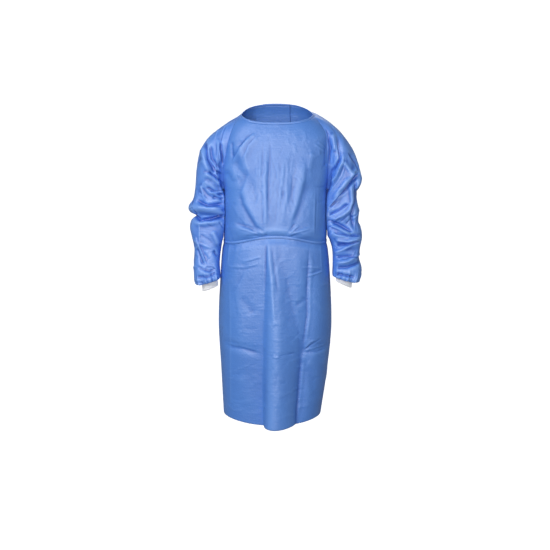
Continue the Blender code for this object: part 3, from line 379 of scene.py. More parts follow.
FRONT_CRUMPLES = [
    Crumple(11, 90, (-0.19, -1.10), (0.19, -0.46), 4.0, 16.0, (0.02, 0.07), (0.004, 0.009), 0.0007),
    Crumple(12, 46, (-0.17, -0.40), (0.17, -0.06), 86.0, 30.0, (0.02, 0.06), (0.004, 0.008), 0.0009),
    Crumple(13, 26, (-0.18, -1.08), (0.18, -0.50), 88.0, 12.0, (0.06, 0.20), (0.008, 0.016), 0.0011),
    Crumple(14, 34, (-0.09, -0.38), (0.08, -0.20), 89.0, 6.0, (0.06, 0.16), (0.003, 0.006), 0.0009),
]
BACK_CREASES = crease_table(
    (LIP, 10, 30, -110, -70, -70, -130, -40, -210),
    (LIP, 10, 28, 115, -80, 80, -140, 55, -230),
    (SOFT, 8, -30, -150, -130, -100, -190),
    (SOFT, 8, -30, 150, -140, 105, -210),
    (SOFT, 14, -24, -130, -250, -60, -235, 0, -250),
    (SOFT, 14, -24, 30, -280, 90, -262, 140, -275),
    (LIP, 7, 30, -120, -330, -75, -380, -40, -440),
    (LIP, 7, 30, 125, -320, 85, -375, 40, -442),
    (SOFT, 6, -26, -30, -330, -22, -442),
    (SOFT, 6, -26, 30, -350, 22, -442),
    (SOFT, 6, -26, -150, -400, -70, -440),
    (SOFT, 6, -26, 155, -398, 75, -440),
    (LIP, 7, -34, -100, -472, -110, -600, -105, -760),
    (LIP, 6, 28, -50, -474, -58, -620),
    (LIP, 6, 28, 55, -474, 66, -640),
    (SOFT, 7, -30, 140, -474, 150, -640),
    (SOFT, 8, 28, -160, -474, -172, -660),
    (SHARP, 5, 22, -45, -500, -46, -830, -48, -1100),
    (SHARP, 5, -22, 98, -500, 98, -850, 96, -1100),
    (SHARP, 5, 20, -190, -810, -100, -822, 20, -815, 180, -826),
    (SOFT, 10, -24, -180, -640, -100, -600),
    (SOFT, 10, -22, 90, -700, 180, -660),
)
BACK_CRUMPLES = [
    Crumple(21, 60, (-0.19, -1.10), (0.19, -0.47), 3.0, 18.0, (0.02, 0.07), (0.004, 0.009), 0.0007),
    Crumple(22, 40, (-0.17, -0.42), (0.17, -0.04), 80.0, 30.0, (0.02, 0.07), (0.005, 0.010), 0.0010),
    Crumple(23, 22, (-0.18, -1.08), (0.18, -0.50), 88.0, 12.0, (0.06, 0.20), (0.008, 0.016), 0.0012),
]

RIGHT_RINGS = [Ring(*row) for row in (
    (0.152, -0.015, 0.193, -0.27, 0.003, 0.066),
    (0.18, -0.03, 0.1935, -0.274, 0.003, 0.07),
    (0.214, -0.053, 0.19, -0.28, 0.002, 0.073),
    (0.247, -0.081, 0.185, -0.288, 0.0, 0.073),
    (0.271, -0.118, 0.179, -0.297, -0.002, 0.071),
    (0.285, -0.166, 0.175, -0.307, -0.005, 0.069),
    (0.291, -0.216, 0.173, -0.317, -0.008, 0.066),
    (0.295, -0.264, 0.172, -0.329, -0.011, 0.063),
    (0.303, -0.304, 0.172, -0.341, -0.013, 0.063),
    (0.32, -0.331, 0.172, -0.352, -0.014, 0.066),
    (0.316, -0.35, 0.172, -0.364, -0.015, 0.062),
    (0.292, -0.363, 0.173, -0.376, -0.016, 0.057),
    (0.309, -0.379, 0.175, -0.389, -0.018, 0.062),
    (0.315, -0.405, 0.179, -0.408, -0.021, 0.061),
    (0.308, -0.44, 0.188, -0.437, -0.026, 0.058),
    (0.299, -0.48, 0.198, -0.471, -0.032, 0.054),
    (0.3, -0.52, 0.203, -0.506, -0.039, 0.052),
    (0.301, -0.556, 0.205, -0.538, -0.046, 0.051),
    (0.299, -0.59, 0.203, -0.567, -0.053, 0.05),
    (0.294, -0.607, 0.2015, -0.581, -0.057, 0.048),
    (0.287, -0.615, 0.2035, -0.59, -0.059, 0.043),
    (0.2805, -0.613, 0.2075, -0.592, -0.06, 0.038),
    (0.277, -0.603, 0.2115, -0.584, -0.06, 0.034),
    (0.2755, -0.588, 0.2135, -0.57, -0.06, 0.031),
)]
LEFT_RINGS = [Ring(*row) for row in (
    (0.17, -0.009, 0.193, -0.27, 0.003, 0.066),
    (0.197, -0.024, 0.1935, -0.274, 0.003, 0.07),
    (0.226, -0.048, 0.19, -0.28, 0.002, 0.073),
    (0.256, -0.082, 0.185, -0.288, 0.0, 0.073),
    (0.284, -0.124, 0.179, -0.297, -0.002, 0.071),
    (0.3, -0.164, 0.175, -0.306, -0.005, 0.069),
    (0.309, -0.2, 0.173, -0.316, -0.008, 0.066),
    (0.315, -0.237, 0.172, -0.329, -0.011, 0.065),
    (0.299, -0.277, 0.172, -0.346, -0.013, 0.06),
    (0.302, -0.316, 0.173, -0.365, -0.015, 0.062),
    (0.307, -0.348, 0.176, -0.387, -0.017, 0.06),
    (0.305, -0.384, 0.181, -0.41, -0.02, 0.058),
    (0.316, -0.417, 0.188, -0.433, -0.023, 0.06),
    (0.317, -0.45, 0.2, -0.456, -0.027, 0.057),
    (0.309, -0.486, 0.207, -0.48, -0.032, 0.054),
    (0.308, -0.518, 0.21, -0.504, -0.038, 0.053),
    (0.316, -0.548, 0.21, -0.527, -0.044, 0.053),
    (0.315, -0.578, 0.2095, -0.55, -0.05, 0.052),
    (0.308, -0.596, 0.2085, -0.568, -0.055, 0.05),
    (0.301, -0.605, 0.209, -0.579, -0.058, 0.045),
    (0.2935, -0.606, 0.212, -0.583, -0.059, 0.039),
    (0.288, -0.597, 0.217, -0.578, -0.06, 0.034),
    (0.286, -0.583, 0.221, -0.564, -0.06, 0.031),
)]
RIGHT_CUFF_EDGE = Ring(0.2690, -0.6390, 0.2105, -0.6170, -0.066, 0.027)
LEFT_CUFF_EDGE = Ring(0.2795, -0.6260, 0.2210, -0.6000, -0.064, 0.027)
RIGHT_FOLDS = [SleeveFold(*row) for row in (
    (3.0, 60.0, 8.0, 150.0, 0.016, -0.006),
    (4.0, 40.0, 7.0, 70.0, 0.016, 0.004),
    (8.0, 30.0, 8.5, 150.0, 0.014, -0.005),
    (9.5, 20.0, 10.0, 160.0, 0.014, 0.005),
    (11.0, 10.0, 11.5, 165.0, 0.014, -0.0075),
    (16.0, 60.0, 19.0, 130.0, 0.015, -0.005),
    (8.0, 210.0, 10.0, 330.0, 0.018, 0.006),
    (11.0, 200.0, 12.0, 340.0, 0.016, -0.007),
)]
LEFT_FOLDS = [SleeveFold(*row) for row in (
    (5.0, 20.0, 10.0, 120.0, 0.016, -0.007),
    (6.0, 50.0, 9.0, 125.0, 0.014, 0.005),
    (6.0, 15.0, 10.0, 60.0, 0.014, 0.005),
    (11.0, 130.0, 13.0, 30.0, 0.015, -0.006),
    (12.0, 150.0, 15.0, 20.0, 0.015, 0.006),
    (14.0, 120.0, 16.0, 10.0, 0.014, -0.005),
    (7.0, 250.0, 10.0, 330.0, 0.018, -0.006),
    (12.0, 220.0, 15.0, 320.0, 0.018, 0.006),
)]

# Fine sleeve creases on the side that faces the front, x outwards from the body's middle
RIGHT_SLEEVE_CREASES = crease_table(
    (LIP, 8, -55, 256, -85, 242, -154, 219, -194, 184, -214),
    (SOFT, 7, -36, 236, -100, 229, -154, 202, -194),
    (SOFT, 10, 40, 266, -105, 256, -160, 236, -205),
    (SOFT, 7, 26, 208, -80, 199, -174),
    (SOFT, 6, -30, 198, -90, 190, -180),
    (LIP, 6, -44, 240, -196, 205, -228, 179, -260),
    (SOFT, 9, 34, 262, -205, 226, -220, 196, -252),
    (SHARP, 6, 30, 272, -245, 256, -306),
    (SOFT, 6, -30, 254, -252, 220, -272, 184, -291),
    (LIP, 5, 26, 244, -276, 184, -272),
    (SOFT, 6, -24, 230, -290, 186, -302),
    (SOFT, 7, -48, 290, -300, 246, -322, 184, -316),
    (SOFT, 8, 50, 300, -326, 240, -333, 184, -338),
    (LIP, 6, -40, 312, -326, 292, -347, 280, -358),
    (LIP, 8, -80, 296, -358, 272, -371, 216, -365, 182, -356),
    (SOFT, 9, 40, 300, -384, 240, -384, 190, -372),
    (SHARP, 5, 18, 277, -376, 277, -490),
    (LIP, 7, 30, 292, -430, 270, -490, 250, -540),
    (SOFT, 6, -24, 286, -470, 262, -540),
    (LIP, 7, -36, 226, -480, 206, -512, 190, -536),
    (SOFT, 10, 26, 232, -410, 204, -470),
    (SOFT, 6, -22, 286, -545, 240, -560, 214, -552),
    (SOFT, 6, -34, 292, -582, 250, -578, 210, -564),
)
LEFT_SLEEVE_CREASES = crease_table(
    (SOFT, 6, -40, 178, -40, 197, -113, 188, -194),
    (LIP, 8, -50, 221, -65, 232, -154, 204, -194, 192, -250),
    (SOFT, 8, 40, 245, -130, 240, -165, 218, -219, 195, -250),
    (SOFT, 7, 24, 205, -60, 214, -130),
    (LIP, 6, -62, 304, -200, 262, -250, 230, -292, 190, -338),
    (SOFT, 9, 42, 300, -182, 250, -244, 205, -300),
    (LIP, 7, -46, 262, -130, 288, -168, 304, -205),
    (SOFT, 7, 30, 244, -162, 264, -190, 282, -222),
    (SOFT, 7, -50, 286, -215, 296, -300, 276, -357, 286, -415),
    (SOFT, 7, 34, 272, -240, 278, -310, 264, -350),
    (LIP, 6, -46, 190, -362, 230, -340, 268, -314),
    (SOFT, 7, 36, 196, -378, 240, -360, 280, -330),
    (SOFT, 6, -46, 196, -376, 240, -396, 284, -420),
    (LIP, 6, 36, 194, -394, 236, -412, 280, -436),
    (LIP, 6, -44, 204, -419, 260, -432, 310, -434),
    (SOFT, 7, 44, 212, -446, 262, -452, 314, -443),
    (LIP, 6, -50, 214, -468, 262, -466, 312, -452),
    (SOFT, 6, 34, 208, -498, 246, -482, 284, -458),
    (LIP, 6, -44, 216, -512, 262, -506, 308, -516),
    (SOFT, 7, 44, 212, -534, 262, -524, 312, -500),
    (SOFT, 6, -44, 216, -548, 262, -544, 312, -528),
    (SOFT, 6, -36, 206, -568, 250, -572, 292, -582),
)
# Creases on the sleeves' hidden sides
RIGHT_SLEEVE_BACK = crease_table(
    (LIP, 9, -46, 230, -90, 220, -160, 196, -220),
    (LIP, 8, -44, 262, -200, 222, -250, 190, -290),
    (SOFT, 9, 46, 300, -330, 240, -322, 186, -334),
    (LIP, 7, -60, 296, -362, 240, -370, 186, -360),
    (SOFT, 8, -36, 290, -420, 240, -400, 200, -410),
    (LIP, 8, -36, 286, -470, 240, -500, 206, -540),
    (SOFT, 9, 30, 220, -450, 260, -530),
)
LEFT_SLEEVE_BACK = crease_table(
    (LIP, 9, -46, 240, -100, 232, -170, 200, -230),
    (LIP, 8, -50, 296, -210, 240, -270, 196, -320),
    (SOFT, 8, 40, 300, -280, 250, -330, 200, -350),
    (SOFT, 7, -46, 290, -380, 240, -360, 196, -380),
    (LIP, 7, -46, 300, -440, 250, -430, 206, -450),
    (SOFT, 8, 40, 306, -500, 250, -480, 212, -490),
    (SOFT, 7, -44, 300, -540, 250, -530, 214, -545),
)


def ease(low: float, high: float, value: Grid) -> Grid:
    """A soft step from 0 at low to 1 at high."""
    f = np.clip((value - low) / (high - low), 0.0, 1.0)
    return f * f * (3.0 - 2.0 * f)


def unit(vectors: Grid) -> Grid:
    """Vectors of length 1 along the last axis."""
    return vectors / np.maximum(np.linalg.norm(vectors, axis=-1, keepdims=True), 1e-12)


def slopes(keys: Grid, values: Grid) -> Grid:
    """Slopes at a table's rows that keep the curve between them free of overshoot."""
    spans = np.diff(keys)
    rises = np.diff(values) / spans
    result = np.zeros(len(keys))
    result[0], result[-1] = rises[0], rises[-1]
    for i in range(1, len(keys) - 1):
        if rises[i - 1] * rises[i] > 0.0:
            before = 2.0 * spans[i] + spans[i - 1]
            after = spans[i] + 2.0 * spans[i - 1]
            result[i] = (before + after) / (before / rises[i - 1] + after / rises[i])
    return result


def smooth(table: Sequence[NamedTuple], column: str, key: Grid) -> Grid:
    """Reads a column of a table at any key, on a smooth curve through its rows.

    Args:
        table: rows whose first column is the key.
        column: name of the column to read.
        key: keys to read it at.

    Returns:
        The column's value at every key.
    """
    keys = np.array([row[0] for row in table])
    values = np.array([getattr(row, column) for row in table])
    grades = slopes(keys, values)
    key = np.clip(key, keys[0], keys[-1])
    i = np.clip(np.searchsorted(keys, key, side="right") - 1, 0, len(keys) - 2)
    span = keys[i + 1] - keys[i]
    f = (key - keys[i]) / span
    start = (1 + 2 * f) * (1 - f) ** 2 * values[i] + f * (1 - f) ** 2 * span * grades[i]
    end = f * f * (3 - 2 * f) * values[i + 1] + f * f * (f - 1) * span * grades[i + 1]
    return start + end


def relief_of(creases: Sequence[Crease], x: Grid, z: Grid) -> Grid:
    """Height of all creases together at places seen from their own side."""
    total = np.zeros(np.shape(x))
    for crease in creases:
        total = total + crease.relief(x, z)
    return total


def broad_relief(folds: Sequence[BroadFold], x: Grid, z: Grid) -> Grid:
    """Height of all broad folds together at places seen from their own side."""
    total = np.zeros(np.shape(x))
    for row in folds:
        along = np.array([row.x_to - row.x_from, row.z_to - row.z_from])
        length = np.hypot(*along)
        f = ((x - row.x_from) * along[0] + (z - row.z_from) * along[1]) / length**2
        off = ((x - row.x_from) * along[1] - (z - row.z_from) * along[0]) / length
        total = total + row.height * fade_ends(f) * np.exp(-((off / row.half_width) ** 2))
    return total


def fade_ends(f: Grid) -> Grid:
    """Strength of a broad fold at a share f of its length."""
    return ease(-0.15, 0.25, f) * ease(1.15, 0.75, f)


def grid_normals(grid: Grid, closed: bool, sign: float) -> Grid:
    """Directions square to a grid of points whose rows run down and columns run round.

    Args:
        grid: points as rows, columns and coordinates.
        closed: whether the last column meets the first.
        sign: 1 where the columns run to the left as seen from inside, else -1.

    Returns:
        One direction of length 1 for every point.
    """
    if closed:
        around = np.roll(grid, -1, axis=1) - np.roll(grid, 1, axis=1)
    else:
        around = np.gradient(grid, axis=1)
    return unit(np.cross(np.gradient(grid, axis=0), around)) * sign


def stretched(grid: Grid, closed: bool, reach: int) -> Grid:
    """A grid with extra points past its edges, so that neighbours exist everywhere."""
    rows = ((reach, reach), (0, 0), (0, 0))
    columns = ((0, 0), (reach, reach), (0, 0))
    taller = np.pad(grid, rows, mode="reflect", reflect_type="odd")
    if closed:
        return np.pad(taller, columns, mode="wrap")
    return np.pad(taller, columns, mode="reflect", reflect_type="odd")


def calmed(shade: Grid, grid: Grid) -> Grid:
    """The front's painted fold shade, weaker at the big fold's foot and on the taut cloth over the tie, where
    a painted highlight is added.
    """
    x, z = grid[..., 0], grid[..., 2]
    rising = [row._replace(z=-row.z) for row in SKIRT_FOLD]
    foot = smooth(rising, "right_foot", -z) + FOOT_SHIFT
    by_foot = np.exp(-(((x - foot) / FOOT_HALF_WIDTH) ** 4)) * ease(*FOOT_STARTS, z)
    across, up = (x - TAUT_MIDDLE[0]) / TAUT_HALF_SIZE[0], (z - TAUT_MIDDLE[1]) / TAUT_HALF_SIZE[1]
    over_tie = np.exp(-(across**4) - up**4)
    # Painted highlight added on the cloth over the tie
    return shade * (1.0 - CALM_SHARE * np.maximum(by_foot, over_tie)) + TIE_PAINTED_HIGHLIGHT * over_tie


def painted_fold_shade(grid: Grid, normals: Grid, closed: bool, gain: float = 1.0) -> Grid:
    """How far each point of a cloth lies out of (above 0) or in (below 0) its surroundings, painted as
    highlight on ridges and shade in hollows.
    """
    total = np.zeros(grid.shape[:2])
    for reach, strength in PAINTED_SHADE_REACHES:
        wide = stretched(grid, closed, reach)
        rows, columns = grid.shape[:2]
        around = (
            wide[: -2 * reach, reach:-reach]
            + wide[2 * reach :, reach:-reach]
            + wide[reach:-reach, : columns]
            + wide[reach:-reach, 2 * reach :]
        ) / 4.0
        total += strength * np.sum((grid - around) * normals, axis=-1)
    return np.tanh(gain * total)


class BodyForm:
    """The form that the worn cloth follows round the trunk, with its broad folds."""

    squareness = 0.05
    normal_step = 0.004
    neck_fade = 0.25
    side_fade = 0.030

    def plain(self, level: Grid, angle: Grid) -> Grid:
        """Point of the form without folds, at a level and an angle in degrees."""
        turn = np.radians(angle)
        across = (np.sin(turn) + self.squareness * np.sin(3 * turn)) / (1 - self.squareness)
        ahead = (np.cos(turn) - self.squareness * np.cos(3 * turn)) / (1 - self.squareness)
        half = np.where(across > 0, smooth(SECTIONS, "left", level), smooth(SECTIONS, "right", level))
        front = ahead > 0
        depth = np.where(front, smooth(SECTIONS, "front", level), smooth(SECTIONS, "back", level))
        end_z = np.where(front, smooth(SECTIONS, "front_z", level), smooth(SECTIONS, "back_z", level))
        side_z = smooth(SECTIONS, "side_z", level)
        share = np.abs(ahead) ** smooth(SECTIONS, "dip", level)
        return np.stack([half * across, -depth * ahead, side_z + (end_z - side_z) * share], axis=-1)

    def skirt_fold(self, point: Grid) -> tuple[Grid, Grid]:
        """How far the middle fold stands out of the skirt and hangs below its hem."""
        rising = [row._replace(z=-row.z) for row in SKIRT_FOLD]
        x, down = point[..., 0], -point[..., 2]
        right, left = smooth(rising, "right_foot", down), smooth(rising, "left_foot", down)
        f = np.clip((x - right) / (left - right), 0.0, 1.0)
        bump = np.sin(np.pi * f**FOLD_LEAN) ** smooth(rising, "power", down)
        bump = bump * (point[..., 1] < 0) * (down > rising[0].z)
        return smooth(rising, "rise", down) * bump, smooth(rising, "drop", down) * bump

    def point(self, level: Grid, angle: Grid) -> Grid:
        """Point of the form with its broad folds."""
        level, angle = np.broadcast_arrays(np.asarray(level, float), np.asarray(angle, float))
        point = self.plain(level, angle)
        normal = self.normal(level, angle, self.plain)
        x, z = point[..., 0], point[..., 2]
        height = ease(0.0, self.side_fade, -point[..., 1]) * broad_relief(FRONT_FOLDS, x, z)
        height = height + ease(0.0, self.side_fade, point[..., 1]) * broad_relief(BACK_FOLDS, x, z)
        height = height * ease(0.0, self.neck_fade, level)
        rise, drop = self.skirt_fold(point)
        moved = point + normal * height[..., None]
        moved[..., 1] -= rise
        moved[..., 2] -= drop
        return moved

    def normal(self, level: Grid, angle: Grid, surface: Callable | None = None) -> Grid:
        """Outward direction of the form, or of another surface of level and angle."""
        surface = surface or self.point
        above = np.clip(level - self.normal_step, 0, HEM)
        below = np.clip(level + self.normal_step, 0, HEM)
        down = surface(below, angle) - surface(above, angle)
        around = surface(level, angle + 1.0) - surface(level, angle - 1.0)
        return unit(np.cross(down, around))

    def level_at(self, z: Grid, angle: float) -> Grid:
        """Level of a height below the underarm, on the line down the body at an angle."""
        levels = np.linspace(UNDERARM, HEM, 400)
        return np.interp(-z, -self.plain(levels, angle)[:, 2], levels)

    def front_edge(self, level: Grid) -> Grid:
        """Angle where the front panel ends."""
        yoke, side = smooth(RAGLAN_SEAMS, "front", level), smooth(SIDE_SEAMS, "front", level)
        return np.where(level < UNDERARM, yoke, side)

    def back_edge(self, level: Grid) -> Grid:
        """Angle where a back panel starts."""
        yoke, side = smooth(RAGLAN_SEAMS, "back", level), smooth(SIDE_SEAMS, "back", level)
        return np.where(level < UNDERARM, yoke, side)

    def centre_speed(self, level: Grid) -> Grid:
        """Metres that the line runs at centre back for each radian of its angle."""
        grade = (1 + 3 * self.squareness) / (1 - self.squareness)
        return smooth(SECTIONS, "right", level) * grade

    def angle_behind(self, level: Grid, x: Grid) -> Grid:
        """Angle of a place on the back, given how far to the left of centre it lies."""
        return 180.0 - np.degrees(x / self.centre_speed(level))


@dataclass(frozen=True)
class Lap:
    """How the left back panel laps over the right one."""

    at_neck: float = 0.050
    at_hem: float = 0.085
    lift: float = 0.0030
    rise_from: float = 0.055
    rise_to: float = 0.012

    def angle(self, body: BodyForm, level: Grid) -> Grid:
        """Angle past centre back that a back panel reaches at a level."""
        reach = self.at_neck + (self.at_hem - self.at_neck) * level / HEM
        return np.degrees(reach / body.centre_speed(level))

    def lifted(self, body: BodyForm, level: Grid, angle: Grid) -> Grid:
        """How far the left back panel stands off the right one."""
        half = smooth(SECTIONS, "right", level)
        past = np.radians(angle - 180.0) * half
        edge = np.radians(self.angle(body, level)) * half
        return self.lift * ease(-edge - self.rise_from, -edge - self.rise_to, past)


BODY = BodyForm()
LAP = Lap()


class Nodes:
    """Short-hand for building a material's node tree."""

    def __init__(self, name: str) -> None:
        """Starts a material of that name with an empty tree."""
        self.material = bpy.data.materials.new(name)
        self.material.use_nodes = True
        self.tree = self.material.node_tree
        self.tree.nodes.clear()

    def add(self, kind: str, settings: dict | None = None, **inputs: object) -> bpy.types.Node:
        """Adds a node, and sets or links its inputs.

        Args:
            kind: the node's type.
            settings: properties of the node itself.
            inputs: values or sockets, by input name with _ for a space.

        Returns:
            The new node.
        """
        node = self.tree.nodes.new(kind)
        for key, value in (settings or {}).items():
            setattr(node, key, value)
        for key, value in inputs.items():
            self.set(node, key.replace("_", " "), value)
        return node

    def set(self, node: bpy.types.Node, key: str | int, value: object) -> None:
        """Sets one input to a value, or links it to a socket."""
        socket = node.inputs[key]
        if isinstance(value, bpy.types.NodeSocket):
            self.tree.links.new(value, socket)
        else:
            socket.default_value = value

    def math(self, operation: str, first: object, second: object = 0.0) -> bpy.types.NodeSocket:
        """The result of a Math node."""
        node = self.add("ShaderNodeMath", {"operation": operation})
        self.set(node, 0, first)
        self.set(node, 1, second)
        return node.outputs[0]

    def mapped(self, source: bpy.types.NodeSocket, scale: tuple, turn: float = 0.0) -> bpy.types.NodeSocket:
        """Coordinates scaled, and turned in degrees, about their origin."""
        node = self.add("ShaderNodeMapping", Vector=source, Scale=scale)
        node.inputs["Rotation"].default_value = (0.0, 0.0, math.radians(turn))
        return node.outputs["Vector"]

    def noise(
        self, source: bpy.types.NodeSocket, scale: float, detail: float, rough: float = 0.5
    ) -> bpy.types.NodeSocket:
        """Noise from 0 to 1 at so many lumps a metre."""
        return self.add(
            "ShaderNodeTexNoise", Vector=source, Scale=scale, Detail=detail, Roughness=rough
        ).outputs[0]

    def ranged(
        self, value: bpy.types.NodeSocket, low: float, high: float, to_low: float, to_high: float
    ) -> bpy.types.NodeSocket:
        """A value moved from one range to another, and kept inside it."""
        node = self.add("ShaderNodeMapRange", Value=value)
        for key, number in zip((1, 2, 3, 4), (low, high, to_low, to_high)):
            node.inputs[key].default_value = number
        return node.outputs[0]

    def mixed(self, share: object, first: object, second: object, blend: str = "MIX") -> bpy.types.NodeSocket:
        """Two colours mixed by a share from 0 to 1."""
        node = self.add("ShaderNodeMix", {"data_type": "RGBA", "blend_type": blend})
        for key, value in ((0, share), (6, first), (7, second)):
            self.set(node, key, value)
        return node.outputs[2]

    def bump(
        self, height: bpy.types.NodeSocket, depth: float, strength: float, under: object = None
    ) -> bpy.types.NodeSocket:
        """A bumped normal, laid on another bump where one is given."""
        node = self.add("ShaderNodeBump", Height=height, Distance=depth, Strength=strength)
        if under is not None:
            self.set(node, "Normal", under)
        return node.outputs[0]

    def finish(self, shader: bpy.types.Node) -> bpy.types.Material:
        """Links the shader to the output and returns the material."""
        output = self.add("ShaderNodeOutputMaterial")
        self.tree.links.new(shader.outputs[0], output.inputs["Surface"])
        return self.material


@dataclass(frozen=True)
class NonwovenFinish:
    """Smooth bonded cloth: point emboss, cloudy fibres, paper-like crinkle, painted highlight on ridges and
    painted shade in creases.
    """

    name: str
    colour: tuple[float, float, float]
    # shade: the darker cloud tone and the painted shade in creases; light: the paler fibre tone and the
    # painted highlight on ridges
    shade: tuple[float, float, float]
    light: tuple[float, float, float]
    roughness: float = 0.44
    emboss_pitch: float = 0.0014
    emboss_depth: float = 0.00010
    crinkle: float = 0.55

    def build(self) -> bpy.types.Material:
        """Makes the material."""
        n = Nodes(self.name)
        place = n.add("ShaderNodeTexCoord").outputs["Object"]
        cloth = n.add("ShaderNodeUVMap", {"uv_map": "cloth"}).outputs[0]
        # fold: the painted shading value laid on each mesh, above 0 on ridges and below 0 in hollows
        fold = n.add("ShaderNodeAttribute", {"attribute_name": "fold"}).outputs["Fac"]
        clouds = n.noise(place, 9.0, 3.0)
        fibres = n.noise(place, 420.0, 4.0, 0.7)
        base = n.mixed(n.ranged(clouds, 0.3, 0.7, 0.0, 0.30), (*self.colour, 1), (*self.shade, 1))
        base = n.mixed(n.ranged(fibres, 0.35, 0.70, 0.0, 0.14), base, (*self.light, 1))
        # Painted highlight on ridges and painted shade in creases, from the fold value
        base = n.mixed(n.ranged(fold, 0.05, 0.9, 0.0, 0.75), base, (*self.light, 1))
        base = n.mixed(n.ranged(fold, -0.05, -0.9, 0.0, 0.90), base, (*self.shade, 1))
        dots = n.add("ShaderNodeTexVoronoi", {"feature": "F1", "voronoi_dimensions": "2D"}, Randomness=0.0)
        pitch = 1.0 / self.emboss_pitch
        n.set(dots, "Vector", n.mapped(cloth, (pitch, pitch * 0.7, 1.0), 45.0))
        n.set(dots, "Scale", 1.0)
        emboss = n.ranged(dots.outputs["Distance"], 0.16, 0.36, 0.0, 1.0)
        streaks = n.noise(n.mapped(cloth, (11.0, 165.0, 1.0)), 1.0, 2.0)
        crinkle = n.noise(place, 46.0, 5.0, 0.62)
        ridged = n.math("ABSOLUTE", n.math("SUBTRACT", crinkle, 0.5))
        normal = n.bump(ridged, 0.0045 * self.crinkle, 0.9)
        normal = n.bump(streaks, 0.0007, 0.7, normal)
        normal = n.bump(emboss, self.emboss_depth, 0.7, normal)
        normal = n.bump(fibres, 0.00008, 0.6, normal)
        gloss = n.ranged(clouds, 0.3, 0.7, self.roughness - 0.04, self.roughness + 0.05)
        shader = n.add("ShaderNodeBsdfPrincipled", Base_Color=base, Roughness=gloss, Normal=normal)
        shader.inputs["Specular IOR Level"].default_value = 0.80
        shader.inputs["Sheen Weight"].default_value = 0.08
        shader.inputs["Sheen Roughness"].default_value = 0.45
        shader.inputs["Sheen Tint"].default_value = (0.35, 0.60, 1.0, 1.0)
        return n.finish(shader)


@dataclass(frozen=True)
class KnitFinish:
    """White elastic rib knit: painted shade in the grooves between ribs, small stitches, a little fuzz."""

    name: str = "cuff_rib_knit"
    colour: tuple[float, float, float] = (0.96, 0.965, 0.985)
    # groove: the painted shade between ribs, and the mottle's darker tone
    groove: tuple[float, float, float] = (0.82, 0.84, 0.90)
    stitch_pitch: float = 0.0016

    def build(self) -> bpy.types.Material:
        """Makes the material."""
        n = Nodes(self.name)
        place = n.add("ShaderNodeTexCoord").outputs["Object"]
        cloth = n.add("ShaderNodeUVMap", {"uv_map": "cloth"}).outputs[0]
        rib = n.add("ShaderNodeAttribute", {"attribute_name": "rib"}).outputs["Fac"]
        # Painted shade in the grooves between ribs
        base = n.mixed(n.ranged(rib, 0.0, 0.55, 1.0, 0.0), (*self.colour, 1), (*self.groove, 1))
        mottle = n.noise(place, 240.0, 3.0)
        base = n.mixed(n.ranged(mottle, 0.3, 0.7, 0.0, 0.12), base, (*self.groove, 1))
        rows = n.add("ShaderNodeTexWave", {"bands_direction": "Y"}, Distortion=1.4)
        n.set(rows, "Vector", cloth)
        n.set(rows, "Scale", math.pi / (10.0 * self.stitch_pitch))
        n.set(rows, "Detail Scale", 3.0)
        normal = n.bump(rows.outputs["Fac"], 0.0003, 0.7)
        normal = n.bump(n.noise(place, 2600.0, 2.0), 0.0001, 0.6, normal)
        shader = n.add("ShaderNodeBsdfPrincipled", Base_Color=base, Normal=normal)
        shader.inputs["Roughness"].default_value = 0.86
        shader.inputs["Specular IOR Level"].default_value = 0.25
        shader.inputs["Sheen Weight"].default_value = 0.35
        shader.inputs["Sheen Roughness"].default_value = 0.5
        return n.finish(shader)


@dataclass(frozen=True)
class ThreadFinish:
    """Sewing thread or the pressed film of a weld dot."""

    name: str
    colour: tuple[float, float, float]
    roughness: float

    def build(self) -> bpy.types.Material:
        """Makes the material."""
        n = Nodes(self.name)
        place = n.add("ShaderNodeTexCoord").outputs["Object"]
        twist = n.noise(place, 1900.0, 2.0)
        dark = tuple(0.6 * value for value in self.colour)
        base = n.mixed(n.ranged(twist, 0.3, 0.7, 0.0, 0.5), (*self.colour, 1), (*dark, 1))
        normal = n.bump(twist, 0.00006, 0.6)
        shader = n.add("ShaderNodeBsdfPrincipled", Base_Color=base, Normal=normal)
        shader.inputs["Roughness"].default_value = self.roughness
        return n.finish(shader)


@dataclass
class Wardrobe:
    """The finishes of the gown, each made once."""

    body: bpy.types.Material = field(init=False)
    sleeve: bpy.types.Material = field(init=False)
    tape: bpy.types.Material = field(init=False)
    knit: bpy.types.Material = field(init=False)
    thread: bpy.types.Material = field(init=False)
    weld: bpy.types.Material = field(init=False)

    def __post_init__(self) -> None:
        """Makes every material."""
        # Colours of each cloth: its own, then a darker one for the cloud tone and the painted shade in
        # creases, then a paler one for the fibre tone and the painted highlight on ridges
        self.body = NonwovenFinish(
            "gown_nonwoven", (0.088, 0.270, 0.790), (0.026, 0.130, 0.540), (0.170, 0.385, 0.930)
        ).build()
        # The sleeves' cloth is a paler copy of the body's: painted light
        self.sleeve = NonwovenFinish(
            "gown_nonwoven_sleeve_painted_paler", (0.100, 0.285, 0.860), (0.024, 0.115, 0.560), (0.200, 0.420, 0.970), 0.42
        ).build()
        # The tape's deeper shade colour also paints shade on the tie's lower edge
        self.tape = NonwovenFinish(
            "gown_tape", (0.088, 0.265, 0.780), (0.018, 0.085, 0.400), (0.200, 0.420, 0.950), 0.46, 0.0011,
            crinkle=0.25
        ).build()
        self.knit = KnitFinish().build()
        self.thread = ThreadFinish("gown_thread", (0.30, 0.48, 0.86), 0.6).build()
        self.weld = ThreadFinish("gown_weld", (0.075, 0.205, 0.600), 0.32).build()


